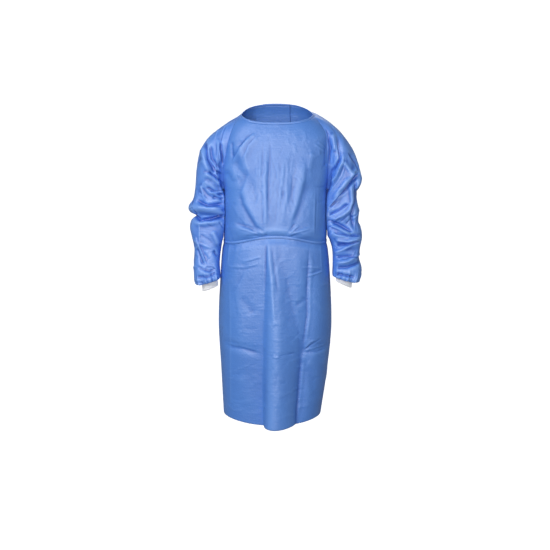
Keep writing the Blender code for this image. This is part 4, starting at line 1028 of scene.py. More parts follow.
def cloth_uv(grid: Grid, closed: bool) -> Grid:
    """Distances in metres along the rows and down the columns of a cloth's grid.

    Args:
        grid: points as rows, columns and coordinates.
        closed: whether the last column meets the first, which adds one more column.

    Returns:
        (u, v) for every point.
    """
    points = np.concatenate([grid, grid[:, :1]], axis=1) if closed else grid
    along = np.linalg.norm(np.diff(points, axis=1), axis=-1)
    u = np.concatenate([np.zeros((len(points), 1)), np.cumsum(along, axis=1)], axis=1)
    u = u - u[:, -1:] / 2
    down = np.linalg.norm(np.diff(points, axis=0), axis=-1).mean(axis=1)
    v = -np.concatenate([[0.0], np.cumsum(down)])[:, None] * np.ones(points.shape[1])
    return np.stack([u, v], axis=-1)


def make_mesh(
    name: str, grid: Grid, closed: bool, outward: Grid, shades: dict[str, Grid] | None = None
) -> bpy.types.Object:
    """Makes a smooth single-layer mesh of a grid, with its cloth UV map and point attributes.

    Args:
        name: the object's name.
        grid: points as rows, columns and coordinates.
        closed: whether the last column meets the first.
        outward: the outward direction at every point.
        shades: values for every point, by attribute name.

    Returns:
        The new object, linked to the scene.
    """
    rows, columns = grid.shape[:2]
    i, j = np.meshgrid(np.arange(rows - 1), np.arange(columns if closed else columns - 1), indexing="ij")
    corners = [(i, j), (i, j + 1), (i + 1, j + 1), (i + 1, j)]
    faces = np.stack([a * columns + b % columns for a, b in corners], axis=-1).reshape(-1, 4)
    wide = columns + 1 if closed else columns
    uv_faces = np.stack([a * wide + b for a, b in corners], axis=-1).reshape(-1, 4)
    points = grid.reshape(-1, 3)
    a, b, d = (points[faces[:, k]] for k in (0, 1, 3))
    facing = np.sum(np.cross(b - a, d - a) * outward.reshape(-1, 3)[faces[:, 0]])
    if facing < 0.0:
        faces, uv_faces = faces[:, ::-1], uv_faces[:, ::-1]
    mesh = bpy.data.meshes.new(name)
    mesh.from_pydata(points.tolist(), [], faces.tolist())
    mesh.uv_layers.new(name="cloth").data.foreach_set(
        "uv", cloth_uv(grid, closed).reshape(-1, 2)[uv_faces.ravel()].ravel()
    )
    for key, values in (shades or {}).items():
        mesh.attributes.new(key, "FLOAT", "POINT").data.foreach_set(
            "value", values.astype(np.float32).ravel()
        )
    mesh.shade_smooth()
    mesh.update()
    item = bpy.data.objects.new(name, mesh)
    bpy.context.scene.collection.objects.link(item)
    return item


def thicken(item: bpy.types.Object, thickness: float) -> None:
    """Gives a single-layer mesh its thickness, inwards."""
    solid = item.modifiers.new("thickness", "SOLIDIFY")
    solid.thickness = thickness
    solid.offset = -1.0
    solid.use_quality_normals = True


def dress(item: bpy.types.Object, finish: bpy.types.Material, slot: str, *nodes: str) -> bpy.types.Object:
    """Gives a piece its finish, its body and the frame's nodes that it stands for."""
    item.data.materials.clear()
    item.data.materials.append(finish)
    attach(item, "root")
    if nodes:
        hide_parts(*nodes)
    triangles = sum(len(face.vertices) - 2 for face in item.data.polygons)
    LOG.info("%s: %d triangles before its thickness", item.name, triangles)
    return item


def edge_distance(grid: Grid) -> Grid:
    """Distance of every point from the nearer end of its row."""
    along = np.linalg.norm(np.diff(grid, axis=1), axis=-1)
    start = np.concatenate([np.zeros((len(grid), 1)), np.cumsum(along, axis=1)], axis=1)
    return np.minimum(start, start[:, -1:] - start)


@dataclass
class Panel:
    """What the front panel and the back panels share."""

    rows_yoke: int = 72
    rows_trunk: int = 58
    rows_skirt: int = 200
    seam_flat: float = 0.011
    waist_press: float = 0.045

    def levels(self) -> Grid:
        """Levels of the panel's rows, from the neck edge to the hem."""
        parts = [
            np.linspace(0.0, UNDERARM, self.rows_yoke + 1),
            np.linspace(UNDERARM, WAIST, self.rows_trunk + 1)[1:],
            np.linspace(WAIST, HEM, self.rows_skirt + 1)[1:],
        ]
        return np.concatenate(parts)

    def creased(self, grid: Grid, level: Grid, sign: float, creases: Sequence[Crease]) -> Grid:
        """Lays the fine creases on a panel, flat at its seams and under the tie.

        Args:
            grid: the panel's points.
            level: the level of every point.
            sign: the grid's direction, as grid_normals reads it.
            creases: ridges and troughs by (x, z).

        Returns:
            The points, moved.
        """
        normals = grid_normals(grid, False, sign)
        height = relief_of(creases, grid[..., 0], grid[..., 2])
        height *= ease(0.0, self.seam_flat, edge_distance(grid))
        height *= ease(0.0, 0.12, level)
        height *= 1.0 - 0.94 * np.exp(-(((level - WAIST) / self.waist_press) ** 4))
        return grid + normals * height[..., None]

    def make(self, name: str, grid: Grid, sign: float, finish: bpy.types.Material) -> bpy.types.Object:
        """Turns a panel's points into its dressed shell, which stands for the node of its name."""
        normals = grid_normals(grid, False, sign)
        # Painted shade in hollows and painted highlight on ridges, kept as the fold value
        shade = painted_fold_shade(grid, normals, False)
        if name == "front_panel":
            shade = calmed(shade, grid)
        item = make_mesh(name + "_cloth", grid, False, normals, {"fold": shade})
        thicken(item, SHELL)
        return dress(item, finish, "gown_cloth", name)


@dataclass
class FrontPanel(Panel):
    """The front, between the raglan seams and the side seams."""

    columns: int = 142
    flat: tuple[float, float] = (0.560, 1.130)
    area: float = 0.53

    def build(self, finish: bpy.types.Material) -> tuple[Grid, Grid]:
        """Makes the panel.

        Args:
            finish: the panel's material.

        Returns:
            The panel's points and its outward directions.
        """
        levels = self.levels()
        edge = BODY.front_edge(levels)
        angles = np.outer(edge, np.linspace(-1.0, 1.0, self.columns + 1))
        level = levels[:, None] * np.ones(self.columns + 1)
        fine = list(FRONT_CREASES)
        for crumple in FRONT_CRUMPLES:
            fine += crumple.creases()
        grid = self.creased(BODY.point(level, angles), level, 1.0, fine)
        item = self.make("front_panel", grid, 1.0, finish)
        return grid, grid_normals(grid, False, 1.0)


@dataclass
class BackPanel(Panel):
    """One back panel, from its side seam past centre back."""

    name: str = "back_panel_left"
    side: int = 1
    columns_single: int = 52
    columns_lap: int = 34
    flat: tuple[float, float] = (0.420, 1.140)
    area: float = 0.43

    def build(self, finish: bpy.types.Material) -> bpy.types.Object:
        """Makes the panel."""
        levels = self.levels()
        rows = []
        for value in levels:
            first, lap = BODY.back_edge(value), LAP.angle(BODY, value)
            single = np.linspace(first, 180.0 - lap, self.columns_single + 1)
            rows.append(
                np.concatenate([single, np.linspace(180.0 - lap, 180.0 + lap, self.columns_lap + 1)[1:]])
            )
        angles = self.side * np.array(rows)
        level = levels[:, None] * np.ones(angles.shape[1])
        fine = list(BACK_CREASES)
        for crumple in BACK_CRUMPLES:
            fine += crumple.creases()
        grid = self.creased(BODY.point(level, angles), level, float(self.side), fine)
        if self.side > 0:
            normals = grid_normals(grid, False, 1.0)
            grid = grid + normals * LAP.lifted(BODY, level, angles)[..., None]
        item = self.make(self.name, grid, float(self.side), finish)
        return item


@dataclass
class Sleeve:
    """One raglan sleeve, bloused over its cuff."""

    side: int
    rings: list[Ring]
    folds: list[SleeveFold]
    front_creases: list[Crease]
    back_creases: list[Crease]
    seed: int
    columns_seam: int = 82
    columns_neck: int = 22
    rows: int = 230
    neck_half_angle: float = 28.0
    armhole_half_depth: float = 0.064
    rounding: tuple[float, ...] = (0.08, 0.28, 0.55, 0.80)
    forward_at_armhole: float = 0.3
    squareness: float = 0.06
    lift_off: tuple[float, ...] = (0.006, 0.008, 0.008)
    lift_off_share: float = 0.6
    clearance: float = 0.0032
    clear_below: float = -0.272
    clear_passes: int = 3
    fold_radius: float = 0.060
    seam_flat: float = 0.012
    gather_height: float = 0.0028
    crease_gain: float = 1.9
    # shade_gain: strength of the sleeves' painted fold shade and highlight
    shade_gain: float = 1.7
    gathers: tuple[tuple[int, float, float], ...] = (
        (9, 1.0, 0.0), (14, 0.7, 1.1), (21, 0.5, 2.3), (31, 0.35, 0.6)
    )
    flat: tuple[float, float] = (0.460, 0.640)
    area: float = 0.235

    def angles(self) -> Grid:
        """Angles of a ring's points, from the outer side towards the front."""
        half = self.neck_half_angle
        seam = np.linspace(half, 360.0 - half, 2 * self.columns_seam + 1)
        neck = np.linspace(-half, half, self.columns_neck + 1)[1:-1]
        return np.concatenate([seam, neck % 360.0])

    def armhole(self) -> tuple[Grid, Grid]:
        """Points and outward directions of the armhole, down the front and up the back seam."""
        levels = np.linspace(0.0, UNDERARM, self.columns_seam + 1)
        front, back = BODY.front_edge(levels), BODY.back_edge(levels)
        neck = np.linspace(back[0], front[0], self.columns_neck + 1)[1:-1]
        level = np.concatenate([levels, levels[-2::-1], np.zeros(len(neck))])
        angle = self.side * np.concatenate([front, back[-2::-1], neck])
        return BODY.point(level, angle), BODY.normal(level, angle)

    def tube(self) -> Grid:
        """The sleeve's rings as in its solid, with as many columns as the shell."""
        turn = np.radians(self.angles())
        flip = np.array([self.side, 1.0, 1.0])
        seam, seam_normals = self.armhole()
        start = seam * flip
        top, bottom = start[-(self.columns_neck // 2)], start[self.columns_seam]
        half, middle = (top - bottom)[[0, 2]] / 2, (top + bottom)[[0, 2]] / 2
        flat = start[:, [0, 2]] - middle
        up = flat @ half / (half @ half)
        aside = flat @ np.array([half[1], -half[0]]) / np.hypot(*half)
        ahead = -start[:, 1] / self.armhole_half_depth
        grid = [start]
        for number, ring in enumerate(self.rings):
            round_by = self.rounding[number] if number < len(self.rounding) else 1.0
            outer, inner = np.array([ring.outer_x, ring.outer_z]), np.array([ring.inner_x, ring.inner_z])
            centre, reach = (outer + inner) / 2, (outer - inner) / 2
            off = np.array([reach[1], -reach[0]]) / np.hypot(*reach)
            square = self.squareness * math.sin(math.pi * number / (len(self.rings) - 1))
            cosine = (np.cos(turn) - square * np.cos(3 * turn)) / (1 - square)
            sine = (np.sin(turn) + square * np.sin(3 * turn)) / (1 - square)
            a, b = up * (1 - round_by) + cosine * round_by, ahead * (1 - round_by) + sine * round_by
            place = centre + np.outer(a, reach) + np.outer(aside * (1 - round_by), off)
            y = ring.centre_y * min(1.0, round_by + self.forward_at_armhole) - b * ring.half_depth
            grid.append(np.stack([place[:, 0], y, place[:, 1]], axis=-1))
        grid = np.array(grid)
        grid = (grid + self.fold_moves(grid)) * flip
        under = ease(0.0, self.lift_off_share, -up)
        for number, least in enumerate(self.lift_off):
            off = np.sum((grid[number + 1] - grid[0]) * seam_normals, axis=-1)
            grid[number + 1] += seam_normals * np.maximum(0.0, least * under - off)[:, None]
        return grid

    def fold_moves(self, grid: Grid) -> Grid:
        """Moves that press the broad folds and the wrist gathers into the rings."""
        count = len(grid)
        number = np.arange(count)[:, None] * np.ones(grid.shape[1])
        angle = np.ones((count, 1)) * self.angles()
        centre = grid.mean(axis=1, keepdims=True)
        pitch = np.linalg.norm(np.diff(centre[:, 0], axis=0), axis=-1).mean()
        height = np.zeros(grid.shape[:2])
        for row in self.folds:
            sweep = math.radians(row.angle_to - row.angle_from) * self.fold_radius
            along = np.array([sweep, (row.ring_to - row.ring_from) * pitch])
            across, down = np.radians(
                angle - row.angle_from
            ) * self.fold_radius, (number - row.ring_from) * pitch
            f = (across * along[0] + down * along[1]) / (along @ along)
            off = (across * along[1] - down * along[0]) / np.hypot(*along)
            height += row.height * fade_ends(f) * np.exp(-((off / row.half_width) ** 2))
        last = count - 1
        fade = ease(last - 6.0, last - 3.5, number) * ease(last - 1.0, last - 3.0, number)
        for waves, share, phase in self.gathers:
            height += self.gather_height * share * fade * np.sin(np.radians(angle) * waves + phase)
        height[:3] *= np.array([0.0, 0.3, 0.7])[:, None]
        inner = 1.0 - ease(0.55, 0.90, -np.cos(np.radians(angle)))
        return unit(grid - centre) * (height * inner)[..., None]

    def fine_rows(self, grid: Grid) -> Grid:
        """More rows on smooth curves through the rings, evenly spaced down the sleeve."""
        steps = np.linalg.norm(np.diff(grid, axis=0), axis=-1).mean(axis=1)
        run = np.concatenate([[0.0], np.cumsum(steps)])
        place = np.interp(np.linspace(0.0, run[-1], self.rows + 1), run, np.arange(len(grid)))
        i = np.clip(place.astype(int), 0, len(grid) - 2)
        f = (place - i)[:, None, None]
        p0, p1 = grid[np.maximum(i - 1, 0)], grid[i]
        p2, p3 = grid[i + 1], grid[np.minimum(i + 2, len(grid) - 1)]
        curve = 2 * p1 + (p2 - p0) * f + (2 * p0 - 5 * p1 + 4 * p2 - p3) * f**2
        return (curve + (3 * p1 - p0 - 3 * p2 + p3) * f**3) / 2

    def creased(self, grid: Grid) -> Grid:
        """Lays the fine creases on the sleeve's front and back, flat at the seam."""
        normals = grid_normals(grid, True, -float(self.side))
        x, z = grid[..., 0] * self.side, grid[..., 2]
        down = np.cumsum(np.concatenate([[0.0], np.linalg.norm(np.diff(grid, axis=0), axis=-1).mean(axis=1)]))
        round_it = np.radians(self.angles()) * self.fold_radius * np.ones((len(grid), 1))
        length, girth = down[-1], 2 * math.pi * self.fold_radius
        small = Crumple(
            self.seed, 70, (0.0, 0.03), (girth, length - 0.05), 12.0, 34.0, (0.02, 0.07), (0.005, 0.010),
            0.0016
        )
        crisp = Crumple(
            self.seed + 40, 64, (0.0, 0.03), (girth, length - 0.04), 24.0, 30.0, (0.04, 0.10), (0.003, 0.005),
            0.0024
        )
        scattered = small.creases() + crisp.creases()
        height = np.zeros(x.shape)
        for shift in (-girth, 0.0, girth):
            height += relief_of(scattered, round_it + shift, down[:, None] * np.ones(x.shape))
        height += ease(-0.10, 0.35, -normals[..., 1]) * self.crease_gain * relief_of(self.front_creases, x, z)
        height += ease(-0.10, 0.35, normals[..., 1]) * self.crease_gain * relief_of(self.back_creases, x, z)
        height *= ease(0.0, self.seam_flat, down)[:, None] * ease(length, length - 0.03, down)[:, None]
        inner = 1.0 - 0.8 * ease(0.55, 0.90, -np.cos(np.radians(self.angles())))
        return grid + normals * (height * inner)[..., None]

    def clear_of_body(self, grid: Grid, first: int) -> Grid:
        """Presses the tube flat where it would touch the side of the body, from a row on."""
        tube = grid[first:]
        for _ in range(self.clear_passes):
            level = BODY.level_at(tube[..., 2], 90.0)
            half = np.abs(BODY.plain(level, 90.0 * self.side)[..., 0])
            depth = smooth(SECTIONS, "front", level)
            angle = np.degrees(np.arctan2(tube[..., 0] / half, -tube[..., 1] / depth))
            skin, out = BODY.point(level, angle), BODY.normal(level, angle, BODY.plain)
            short = np.maximum(0.0, self.clearance - np.sum((tube - skin) * out, axis=-1))
            tube += out * (short * (tube[..., 2] < self.clear_below))[..., None]
        return grid

    def build(self, finish: bpy.types.Material) -> tuple[bpy.types.Object, Grid]:
        """Makes the sleeve.

        Args:
            finish: the sleeve's material.

        Returns:
            The sleeve and its last ring, where the cuff starts.
        """
        word = "left" if self.side > 0 else "right"
        grid = self.clear_of_body(self.creased(self.fine_rows(self.clear_of_body(self.tube(), 3))), 18)
        normals = grid_normals(grid, True, -float(self.side))
        # Painted shade in hollows and painted highlight on ridges, stronger on the sleeves
        shades = {"fold": painted_fold_shade(grid, normals, True, self.shade_gain)}
        item = make_mesh(f"sleeve_{word}_cloth", grid, True, normals, shades)
        thicken(item, SHELL)
        dress(item, finish, "gown_cloth", f"sleeve_{word}")
        return item, grid[-1]


class GeometryTree:
    """A Geometry Nodes tree with named inputs, applied to an object and made a plain mesh."""

    def __init__(self, name: str) -> None:
        """Starts the tree with its geometry input and output."""
        self.tree = bpy.data.node_groups.new(name, "GeometryNodeTree")
        face = self.tree.interface
        face.new_socket(name="Geometry", in_out="INPUT", socket_type="NodeSocketGeometry")
        face.new_socket(name="Geometry", in_out="OUTPUT", socket_type="NodeSocketGeometry")
        self.values: dict[str, object] = {}
        self.entry = self.tree.nodes.new("NodeGroupInput")
        self.exit = self.tree.nodes.new("NodeGroupOutput")

    def number(self, name: str, value: float) -> bpy.types.NodeSocket:
        """Adds a named input for a size and returns its socket."""
        self.tree.interface.new_socket(name=name, in_out="INPUT", socket_type="NodeSocketFloat")
        self.values[name] = value
        return self.entry.outputs[name]

    def add(self, kind: str, settings: dict | None = None, **inputs: object) -> bpy.types.Node:
        """Adds a node, and sets or links its inputs by name, with _ for a space."""
        node = self.tree.nodes.new(kind)
        for key, value in (settings or {}).items():
            setattr(node, key, value)
        for key, value in inputs.items():
            self.set(node, key.replace("_", " "), value)
        return node

    def set(self, node: bpy.types.Node, key: str | int, value: object) -> None:
        """Sets one input to a value, or links it to a socket."""
        socket = node.inputs[key]
        if isinstance(value, bpy.types.NodeSocket):
            self.tree.links.new(value, socket)
        else:
            socket.default_value = value

    def math(self, operation: str, first: object, second: object = 0.0) -> bpy.types.NodeSocket:
        """The result of a Math node."""
        node = self.add("ShaderNodeMath", {"operation": operation})
        self.set(node, 0, first)
        self.set(node, 1, second)
        return node.outputs[0]

    def scaled(self, vector: object, factor: object) -> bpy.types.NodeSocket:
        """A vector times a number."""
        node = self.add("ShaderNodeVectorMath", {"operation": "SCALE"})
        self.set(node, 0, vector)
        self.set(node, "Scale", factor)
        return node.outputs[0]

    def close(self, geometry: bpy.types.NodeSocket, material: bpy.types.Material) -> None:
        """Ends the tree in Realize Instances and Set Material."""
        real = self.add("GeometryNodeRealizeInstances", Geometry=geometry)
        painted = self.add("GeometryNodeSetMaterial", Geometry=real.outputs[0], Material=material)
        self.tree.links.new(painted.outputs[0], self.exit.inputs[0])

    def apply(self, item: bpy.types.Object) -> None:
        """Runs the tree on an object and leaves its plain mesh there."""
        modifier = item.modifiers.new(self.tree.name, "NODES")
        modifier.node_group = self.tree
        for socket in self.tree.interface.items_tree:
            if socket.in_out == "INPUT" and socket.name in self.values:
                modifier[socket.identifier] = self.values[socket.name]
        bpy.context.view_layer.update()
        evaluated = item.evaluated_get(bpy.context.evaluated_depsgraph_get())
        mesh = bpy.data.meshes.new_from_object(evaluated)
        item.modifiers.remove(modifier)
        item.data = mesh


@dataclass
class Cuff:
    """A white rib-knit cuff, from the sleeve's last ring to its lower edge."""

    side: int
    edge: Ring
    ribs: int = 44
    columns: int = 352
    rows: int = 26
    rib_height: float = 0.0009
    thickness: float = 0.0012
    hug: float = 0.035
    hem_roll: float = 0.0022
    tuck: float = 0.03
    flat: tuple[float, float] = (0.185, 0.075)

    def grid(self, ring: Grid, ring_angles: Grid) -> Grid:
        """Points of the cuff without ribs.

        Args:
            ring: the sleeve's last ring.
            ring_angles: the angles of its points.

        Returns:
            The cuff's points, row by row from the seam.
        """
        order = np.argsort(ring_angles)
        turn = np.linspace(0.0, 360.0, self.columns, endpoint=False)
        start = np.stack(
            [np.interp(turn, ring_angles[order], ring[order, k], period=360.0) for k in range(3)], axis=-1
        )
        centre = start.mean(axis=0)
        start = start - (start - centre) * self.tuck
        start[:, 2] += 0.006
        outer = np.array([self.edge.outer_x, self.edge.centre_y, self.edge.outer_z])
        inner = np.array([self.edge.inner_x, self.edge.centre_y, self.edge.inner_z])
        end = (outer + inner) / 2 + np.outer(np.cos(np.radians(turn)), (outer - inner) / 2)
        end[:, 1] -= np.sin(np.radians(turn)) * self.edge.half_depth
        end = end * np.array([self.side, 1.0, 1.0])
        rows = []
        for f in np.linspace(0.0, 1.0, self.rows + 1):
            row = start + (end - start) * f
            middle = row.mean(axis=0)
            squeeze = (
                1.0
                - self.hug * math.sin(math.pi * f)
                - self.hem_roll / 0.03 * max(0.0, (f - 0.94) / 0.06) ** 2
            )
            rows.append(middle + (row - middle) * squeeze)
        return np.array(rows)

    def build(self, ring: Grid, ring_angles: Grid, finish: bpy.types.Material) -> bpy.types.Object:
        """Makes the cuff, its ribs raised by Geometry Nodes."""
        word = "left" if self.side > 0 else "right"
        grid = self.grid(ring, ring_angles)
        out = unit(grid - grid.mean(axis=1, keepdims=True))
        turn = np.linspace(0.0, 1.0, self.columns, endpoint=False) * np.ones((len(grid), 1))
        # rib is 1 on a rib's crest and 0 in a groove; the knit's material paints shade in the grooves from it
        rib = 0.5 + 0.5 * np.cos(2 * np.pi * self.ribs * turn)
        item = make_mesh(f"cuff_{word}_knit", grid, True, out, {"turn": turn, "rib": rib})
        tree = GeometryTree(f"ribs_{word}")
        ribs, height = tree.number("Ribs", float(self.ribs)), tree.number("Rib height", self.rib_height)
        place = tree.add("GeometryNodeInputNamedAttribute", {"data_type": "FLOAT"}, Name="turn")
        wave = tree.math(
            "COSINE", tree.math("MULTIPLY", tree.math("MULTIPLY", place.outputs[0], ribs), 2 * math.pi)
        )
        raised = tree.math("MULTIPLY", tree.math("SUBTRACT", wave, 0.6), height)
        normal = tree.add("GeometryNodeInputNormal")
        moved = tree.add("GeometryNodeSetPosition", Geometry=tree.entry.outputs[0])
        tree.set(moved, "Offset", tree.scaled(normal.outputs[0], raised))
        tree.close(moved.outputs[0], finish)
        tree.apply(item)
        thicken(item, self.thickness)
        dress(item, finish, "cuff_knit", f"cuff_{word}")
        return item


class Bead(Enum):
    """What a row repeats along its line."""

    STITCH = "stitch"
    WELD = "weld"


@dataclass
class BeadRow:
    """Stitches or weld dots along a line on the cloth, placed by Geometry Nodes."""

    name: str
    bead: Bead
    lines: list[tuple[Grid, Grid]]
    pitch: float
    size: tuple[float, float, float]
    slot: str

    def build(self, finish: bpy.types.Material) -> bpy.types.Object:
        """Makes all beads of the row as one plain mesh."""
        points, edges, normals = [], [], []
        for line, out in self.lines:
            base = len(points)
            points.extend(line.tolist())
            normals.extend(out.tolist())
            edges.extend([(base + k, base + k + 1) for k in range(len(line) - 1)])
        mesh = bpy.data.meshes.new(self.name)
        mesh.from_pydata(points, edges, [])
        mesh.attributes.new("out", "FLOAT_VECTOR", "POINT").data.foreach_set(
            "vector", np.array(normals).ravel()
        )
        item = bpy.data.objects.new(self.name, mesh)
        bpy.context.scene.collection.objects.link(item)
        tree = GeometryTree(self.name)
        pitch = tree.number("Pitch", self.pitch)
        size = [tree.number(word, value) for word, value in zip(("Length", "Width", "Height"), self.size)]
        curve = tree.add("GeometryNodeMeshToCurve", Mesh=tree.entry.outputs[0])
        even = tree.add("GeometryNodeResampleCurve", {"mode": "LENGTH"}, Curve=curve.outputs[0], Length=pitch)
        tangent = tree.add("GeometryNodeInputTangent")
        out = tree.add("GeometryNodeInputNamedAttribute", {"data_type": "FLOAT_VECTOR"}, Name="out")
        first = tree.add("FunctionNodeAlignRotationToVector", {"axis": "X"}, Vector=tangent.outputs[0])
        second = tree.add(
            "FunctionNodeAlignRotationToVector", {"axis": "Z", "pivot_axis": "X"}, Vector=out.outputs[0]
        )
        tree.set(second, "Rotation", first.outputs[0])
        stitch = self.bead is Bead.STITCH
        ball = tree.add("GeometryNodeMeshUVSphere", Segments=6 if stitch else 8, Rings=4, Radius=0.5)
        scale = tree.add("ShaderNodeCombineXYZ", X=size[0], Y=size[1], Z=size[2])
        shaped = tree.add("GeometryNodeTransform", Geometry=ball.outputs[0], Scale=scale.outputs[0])
        placed = tree.add("GeometryNodeInstanceOnPoints", Points=even.outputs[0], Instance=shaped.outputs[0])
        tree.set(placed, "Rotation", second.outputs[0])
        tree.close(placed.outputs[0], finish)
        tree.apply(item)
        item.data.shade_smooth()
        return dress(item, finish, self.slot)


def sweep(
    name: str, centre: Grid, across: Grid, out: Grid, profile: Grid, lit_edge: float = 0.0
) -> bpy.types.Object:
    """Sweeps a closed profile along a line and closes both ends.

    Args:
        name: the object's name.
        centre: the line's points.
        across: the profile's first direction at every point.
        out: the profile's second direction at every point.
        profile: (across, out) points round the profile, for each point of the line or for all.
        lit_edge: how much painted light its first edge gets and painted shade its last one.

    Returns:
        The closed tape as an object.
    """
    profile = np.broadcast_to(profile, (len(centre), *np.shape(profile)[-2:]))
    grid = centre[:, None] + across[:, None] * profile[..., :1] + out[:, None] * profile[..., 1:]
    outward = unit(grid - grid.mean(axis=1, keepdims=True))
    # Painted highlight on the tape's raised side, and painted light and shade on its edges
    ridge = profile[..., 1] / np.maximum(np.abs(profile[..., 1]).max(), 1e-9)
    lit = 0.3 * ridge + 0.9 * profile[..., 0] / np.abs(profile[..., 0]).max() * lit_edge
    item = make_mesh(name, grid, True, outward, {"fold": lit * np.ones(grid.shape[:2])})
    mesh, sides = item.data, grid.shape[1]
    points = [v.co[:] for v in mesh.vertices]
    faces = [tuple(p.vertices) for p in mesh.polygons]
    uv = np.zeros(len(mesh.loops) * 2)
    mesh.uv_layers["cloth"].data.foreach_get("uv", uv)
    shade = np.zeros(len(points))
    mesh.attributes["fold"].data.foreach_get("value", shade)
    last = len(points) - sides
    first_cap, last_cap = tuple(range(sides)), tuple(last + k for k in range(sides))
    a, b = faces[0][0], faces[0][1]
    forward = (b - a) % sides == 1 and a < sides and b < sides
    caps = [first_cap[::-1], last_cap] if forward else [first_cap, last_cap[::-1]]
    capped = bpy.data.meshes.new(name)
    capped.from_pydata(points, [], faces + caps)
    capped.uv_layers.new(name="cloth").data.foreach_set("uv", np.concatenate([uv, np.zeros(4 * sides)]))
    capped.attributes.new("fold", "FLOAT", "POINT").data.foreach_set("value", shade)
    capped.shade_smooth()
    capped.set_sharp_from_angle(angle=math.radians(60.0))
    item.data = capped
    return item


def tape_profile(width: float, thickness: float, roll: float, points: int = 16) -> Grid:
    """A flat tape's outline, its first edge rolled into a small round.

    Args:
        width: the tape's width.
        thickness: its thickness.
        roll: how much thicker the rolled edge is.
        points: number of points in the outline.

    Returns:
        (across, out) points, with the tape's back at 0.
    """
    turn = np.linspace(0.0, 2 * math.pi, points, endpoint=False)
    across = np.sign(np.cos(turn)) * np.abs(np.cos(turn)) ** 0.55 * width / 2
    swell = 1.0 + roll * np.exp(-(((across - width * 0.36) / (width * 0.14)) ** 2))
    out = np.sign(np.sin(turn)) * np.abs(np.sin(turn)) ** 0.7 * thickness / 2
    return np.stack([across, (out + thickness / 2) * np.where(out > 0, swell, 1.0)], axis=-1)


@dataclass
class NeckBinding:
    """The folded tape round the neck edge, with one row of stitches."""

    width: float = 0.0080
    thickness: float = 0.0024
    proud: float = 0.0004
    stitch_pitch: float = 0.0034
    flat: tuple[float, float] = (0.0110, 0.800)

    def angles(self) -> Grid:
        """Angles along the binding, from the right back edge round the front to the left."""
        end = 180.0 + float(LAP.angle(BODY, 0.0))
        return np.linspace(-end, end, 340)

    def build(self, tape: bpy.types.Material, thread: bpy.types.Material) -> bpy.types.Object:
        """Makes the binding and its stitches."""
        angles = self.angles()
        levels = np.zeros_like(angles)
        edge, normal = BODY.point(levels, angles), BODY.normal(levels, angles)
        up = unit(edge - BODY.point(levels + 0.02, angles))
        lift = np.where(angles > 0, LAP.lifted(BODY, levels, angles), 0.0)
        centre = edge + normal * (lift - self.thickness + self.proud)[:, None] + up * self.width * 0.5
        wobble = 1.0 + 0.05 * np.sin(angles * 0.9) * np.sin(angles * 0.31 + 1.0)
        profile = tape_profile(self.width, self.thickness, 0.15)[None] * wobble[:, None, None]
        item = sweep("neck_binding_tape", centre, up, normal, profile)
        dress(item, tape, "gown_tie", "neck_binding")
        line = centre + normal * self.thickness * 1.04 - up * self.width * 0.22
        BeadRow(
            "neck_binding_stitches", Bead.STITCH, [(line, normal)], self.stitch_pitch,
            (0.0024, 0.0005, 0.0004), "gown_tie"
        ).build(thread)
        return item


@dataclass
class WaistTie:
    """The tie sewn to the middle of the front, run round both sides and knotted behind."""

    half_level: float = 0.024
    thickness: float = 0.0013
    seat: float = 0.0004
    knot_half: float = 0.0150
    tacks: tuple[float, float] = (-0.035, 0.041)
    flat: tuple[float, float] = (0.0105, 1.040)

    def line(self) -> tuple[Grid, Grid, Grid, Grid]:
        """Middle, upward and outward directions and width of the tie, point by point."""
        end = float(BODY.angle_behind(WAIST, self.knot_half))
        angles = np.linspace(-end, end, 420)
        edges = []
        for level in (WAIST - self.half_level, WAIST + self.half_level):
            levels = np.full_like(angles, level)
            normal = BODY.normal(levels, angles)
            on_lap = ease(
                180.0 - 1.15 * LAP.angle(BODY, level), 180.0 - LAP.angle(BODY, level), np.abs(angles)
            )
            lift = np.where(angles > 0, LAP.lifted(BODY, levels, angles), LAP.lift * on_lap) + self.seat
            edges.append((BODY.point(levels, angles) + normal * lift[:, None], normal))
        (top, top_normal), (bottom, bottom_normal) = edges
        up = top - bottom
        return (top + bottom) / 2, unit(up), unit(top_normal + bottom_normal), np.linalg.norm(up, axis=-1)

    def build(self, tape: bpy.types.Material, thread: bpy.types.Material) -> bpy.types.Object:
        """Makes the tie and its two tacks."""
        centre, up, out, width = self.line()
        run = np.linspace(0.0, 1.0, len(centre))
        rumple = (
            1.0
            + 0.10 * np.sin(run * 61.0) * np.sin(run * 23.0 + 1.0)
            - 0.16 * np.exp(-(((centre[:, 0] - self.tacks[0]) / 0.006) ** 2)) * (centre[:, 1] < 0)
        )
        profile = tape_profile(1.0, self.thickness, 0.10)[None] * np.stack(
            [width * rumple, np.ones_like(width)], axis=-1
        )[:, None]
        # The tie's upper edge gets painted light and its lower edge painted shade
        item = sweep("waist_tie_tape", centre, up, out, profile, 1.0)
        dress(item, tape, "gown_tie", "waist_tie")
        front = centre[:, 1] < 0
        lines = []
        for tack in self.tacks:
            k = int(np.argmin(np.where(front, np.abs(centre[:, 0] - tack), 9.0)))
            for shift in (-2, 0, 2):
                share = np.linspace(-0.4, 0.4, 8)[:, None]
                lines.append(
                    (
                        centre[k + shift] + up[k] * width[k] * share + out[k] * self.thickness * 1.12,
                        np.tile(out[k], (8, 1))
                    )
                )
        BeadRow(
            "waist_tie_tacks", Bead.STITCH, lines, 0.0016, (0.0015, 0.0005, 0.0005), "gown_tie"
        ).build(thread)
        return item


